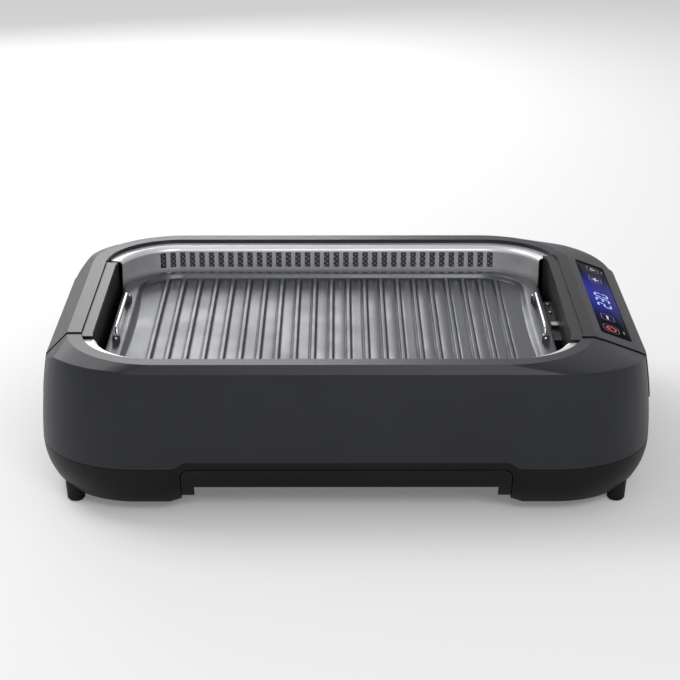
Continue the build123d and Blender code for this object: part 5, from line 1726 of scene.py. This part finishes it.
@dataclass
class Studio:
    """The pale floor, the lights and the camera.

    Args:
        eye: Camera place in millimetres.
        pitch: Degrees below the horizon.
        yaw: Degrees to the right of straight on.
        focal_px: Focal length in pixels of the frame.
        frame_px: Width of the frame in pixels.
        sensor: Width of the camera's sensor in millimetres.
        far: How far the camera sees, in metres.
        floor_half: Half the floor's width in metres.
        floor_tone: Brightness of the floor's paper.
        floor_lift: Light that the floor adds for the camera alone.
        room_tone: Colour of the room as light.
        gloss_share: How far the room turns white for gloss.
        lamps: The soft boxes.
    """

    eye: tuple[float, float, float] = (-7.5, -1631.5, 709.1)
    pitch: float = 20.72
    yaw: float = 0.089
    focal_px: float = 1930.0
    frame_px: float = 680.0
    sensor: float = 36.0
    far: float = 50.0
    floor_half: float = 6.0
    floor_tone: float = 0.86
    floor_lift: float = 0.16
    room_tone: tuple[float, float, float] = (0.42, 0.42, 0.43)
    gloss_share: float = 0.42
    lamps: tuple[SoftBox, ...] = (
        SoftBox("key", (-1.1, 0.5, 1.7), (0.0, 0.0, 0.1), (1.1, 0.9), 14.0),
        SoftBox("fill", (0.5, -1.9, 1.45), (0.0, 0.0, 0.12), (1.2, 0.6), 14.0),
        SoftBox("back", (-0.55, 1.6, 0.74), (-0.1, 0.0, 0.13), (1.3, 0.55), 9.5),
    )

    def place_camera(self) -> None:
        """Sets up the camera at the photograph's viewing angle."""
        data = bpy.data.cameras.new("camera")
        data.sensor_width = self.sensor
        data.lens = self.focal_px / self.frame_px * self.sensor
        data.clip_end = self.far
        camera = bpy.data.objects.new("camera", data)
        camera.location = Vector(self.eye) * MM
        camera.rotation_euler = Euler(
            (math.radians(90.0 - self.pitch), 0.0, math.radians(-self.yaw)), "XYZ"
        )
        bpy.context.scene.collection.objects.link(camera)
        bpy.context.scene.camera = camera

    def lay_floor(self) -> None:
        """A wide pale floor, lifted a little for the camera alone, which keeps the shadow."""
        half = self.floor_half
        corners = [(-half, -half, 0.0), (half, -half, 0.0), (half, half, 0.0), (-half, half, 0.0)]
        mesh = bpy.data.meshes.new("floor")
        mesh.from_pydata(corners, [], [(0, 1, 2, 3)])
        floor = bpy.data.objects.new("floor", mesh)
        bpy.context.scene.collection.objects.link(floor)
        material = bpy.data.materials.new("floor_paper")
        material.use_nodes = True
        wiring = Wiring(material.node_tree)
        shader = material.node_tree.nodes["Principled BSDF"]
        path = wiring.add("ShaderNodeLightPath")
        shader.inputs["Emission Color"].default_value = (1.0, 1.0, 1.0, 1.0)
        wiring.join(wiring.math("MULTIPLY", path.outputs["Is Camera Ray"], self.floor_lift),
                    shader.inputs["Emission Strength"])
        shader.inputs["Base Color"].default_value = (self.floor_tone,) * 3 + (1.0,)
        shader.inputs["Roughness"].default_value = 0.7
        shader.inputs["Specular IOR Level"].default_value = 0.0
        mesh.materials.append(material)

    def paint_world(self) -> None:
        """A pale room: white to the camera, softer in what is glossy and softest as light."""
        world = bpy.data.worlds.new("room")
        world.use_nodes = True
        bpy.context.scene.world = world
        w = Wiring(world.node_tree)
        background = w.tree.nodes["Background"]
        path = w.add("ShaderNodeLightPath")
        seen = w.math("MAXIMUM", path.outputs["Is Camera Ray"], path.outputs["Is Transmission Ray"])
        shiny = w.math("MULTIPLY", path.outputs["Is Glossy Ray"], self.gloss_share)
        share = w.math("MAXIMUM", seen, shiny)
        w.join(w.blend(share, self.room_tone, (1.0, 1.0, 1.0)), background.inputs["Color"])
        background.inputs["Strength"].default_value = 1.0

    def build(self) -> None:
        """Puts up the whole studio."""
        scene = bpy.context.scene
        scene.view_settings.view_transform = "Standard"
        self.place_camera()
        self.lay_floor()
        self.paint_world()
        for lamp in self.lamps:
            lamp.build()
        log.info("studio is up")


def main() -> None:
    """Builds and dresses every piece in order."""
    logging.basicConfig(level=logging.INFO, format="%(message)s")
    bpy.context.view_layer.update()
    Studio().build()
    for make in (grain_group, brush_group, speckle_group, glow_group, groove_group):
        make()
    palette = Palette(all_finishes())
    for part in frame["record"]["subparts"]:
        palette.dress(part["node"], part["material_slot"])
        log.info("dressed %s", part["node"])
    dresser = Dresser(palette)
    dresser.wear(GrillPlate().build(), "plate_coating", "plate", "grill_plate")
    dresser.wear(Bail(-1).build(), "bail_chrome", "left_handle", "left_bail")
    dresser.wear(Bail(1).build(), "bail_chrome", "right_handle", "right_bail")
    dresser.wear(WellWall(-1).build(), "well_steel", "base", "front_well_wall")
    dresser.wear(WellWall(1).build(), "well_steel", "base", "slotted_well_wall")
    dresser.wear(FilterMesh().build(), "filter_mesh", "base", "grease_filter")
    controls = ControlGlass(Slope())
    dresser.wear(controls.glass(), "smoked_glass", "base", "control_glass")
    dresser.light(controls.digits(), Mark.DIGITS)
    dresser.light(controls.marks(), Mark.WHITE)
    dresser.light(controls.frames(), Mark.FAINT)
    dresser.light(controls.power(), Mark.RED)


if __name__ == "__main__":
    main()
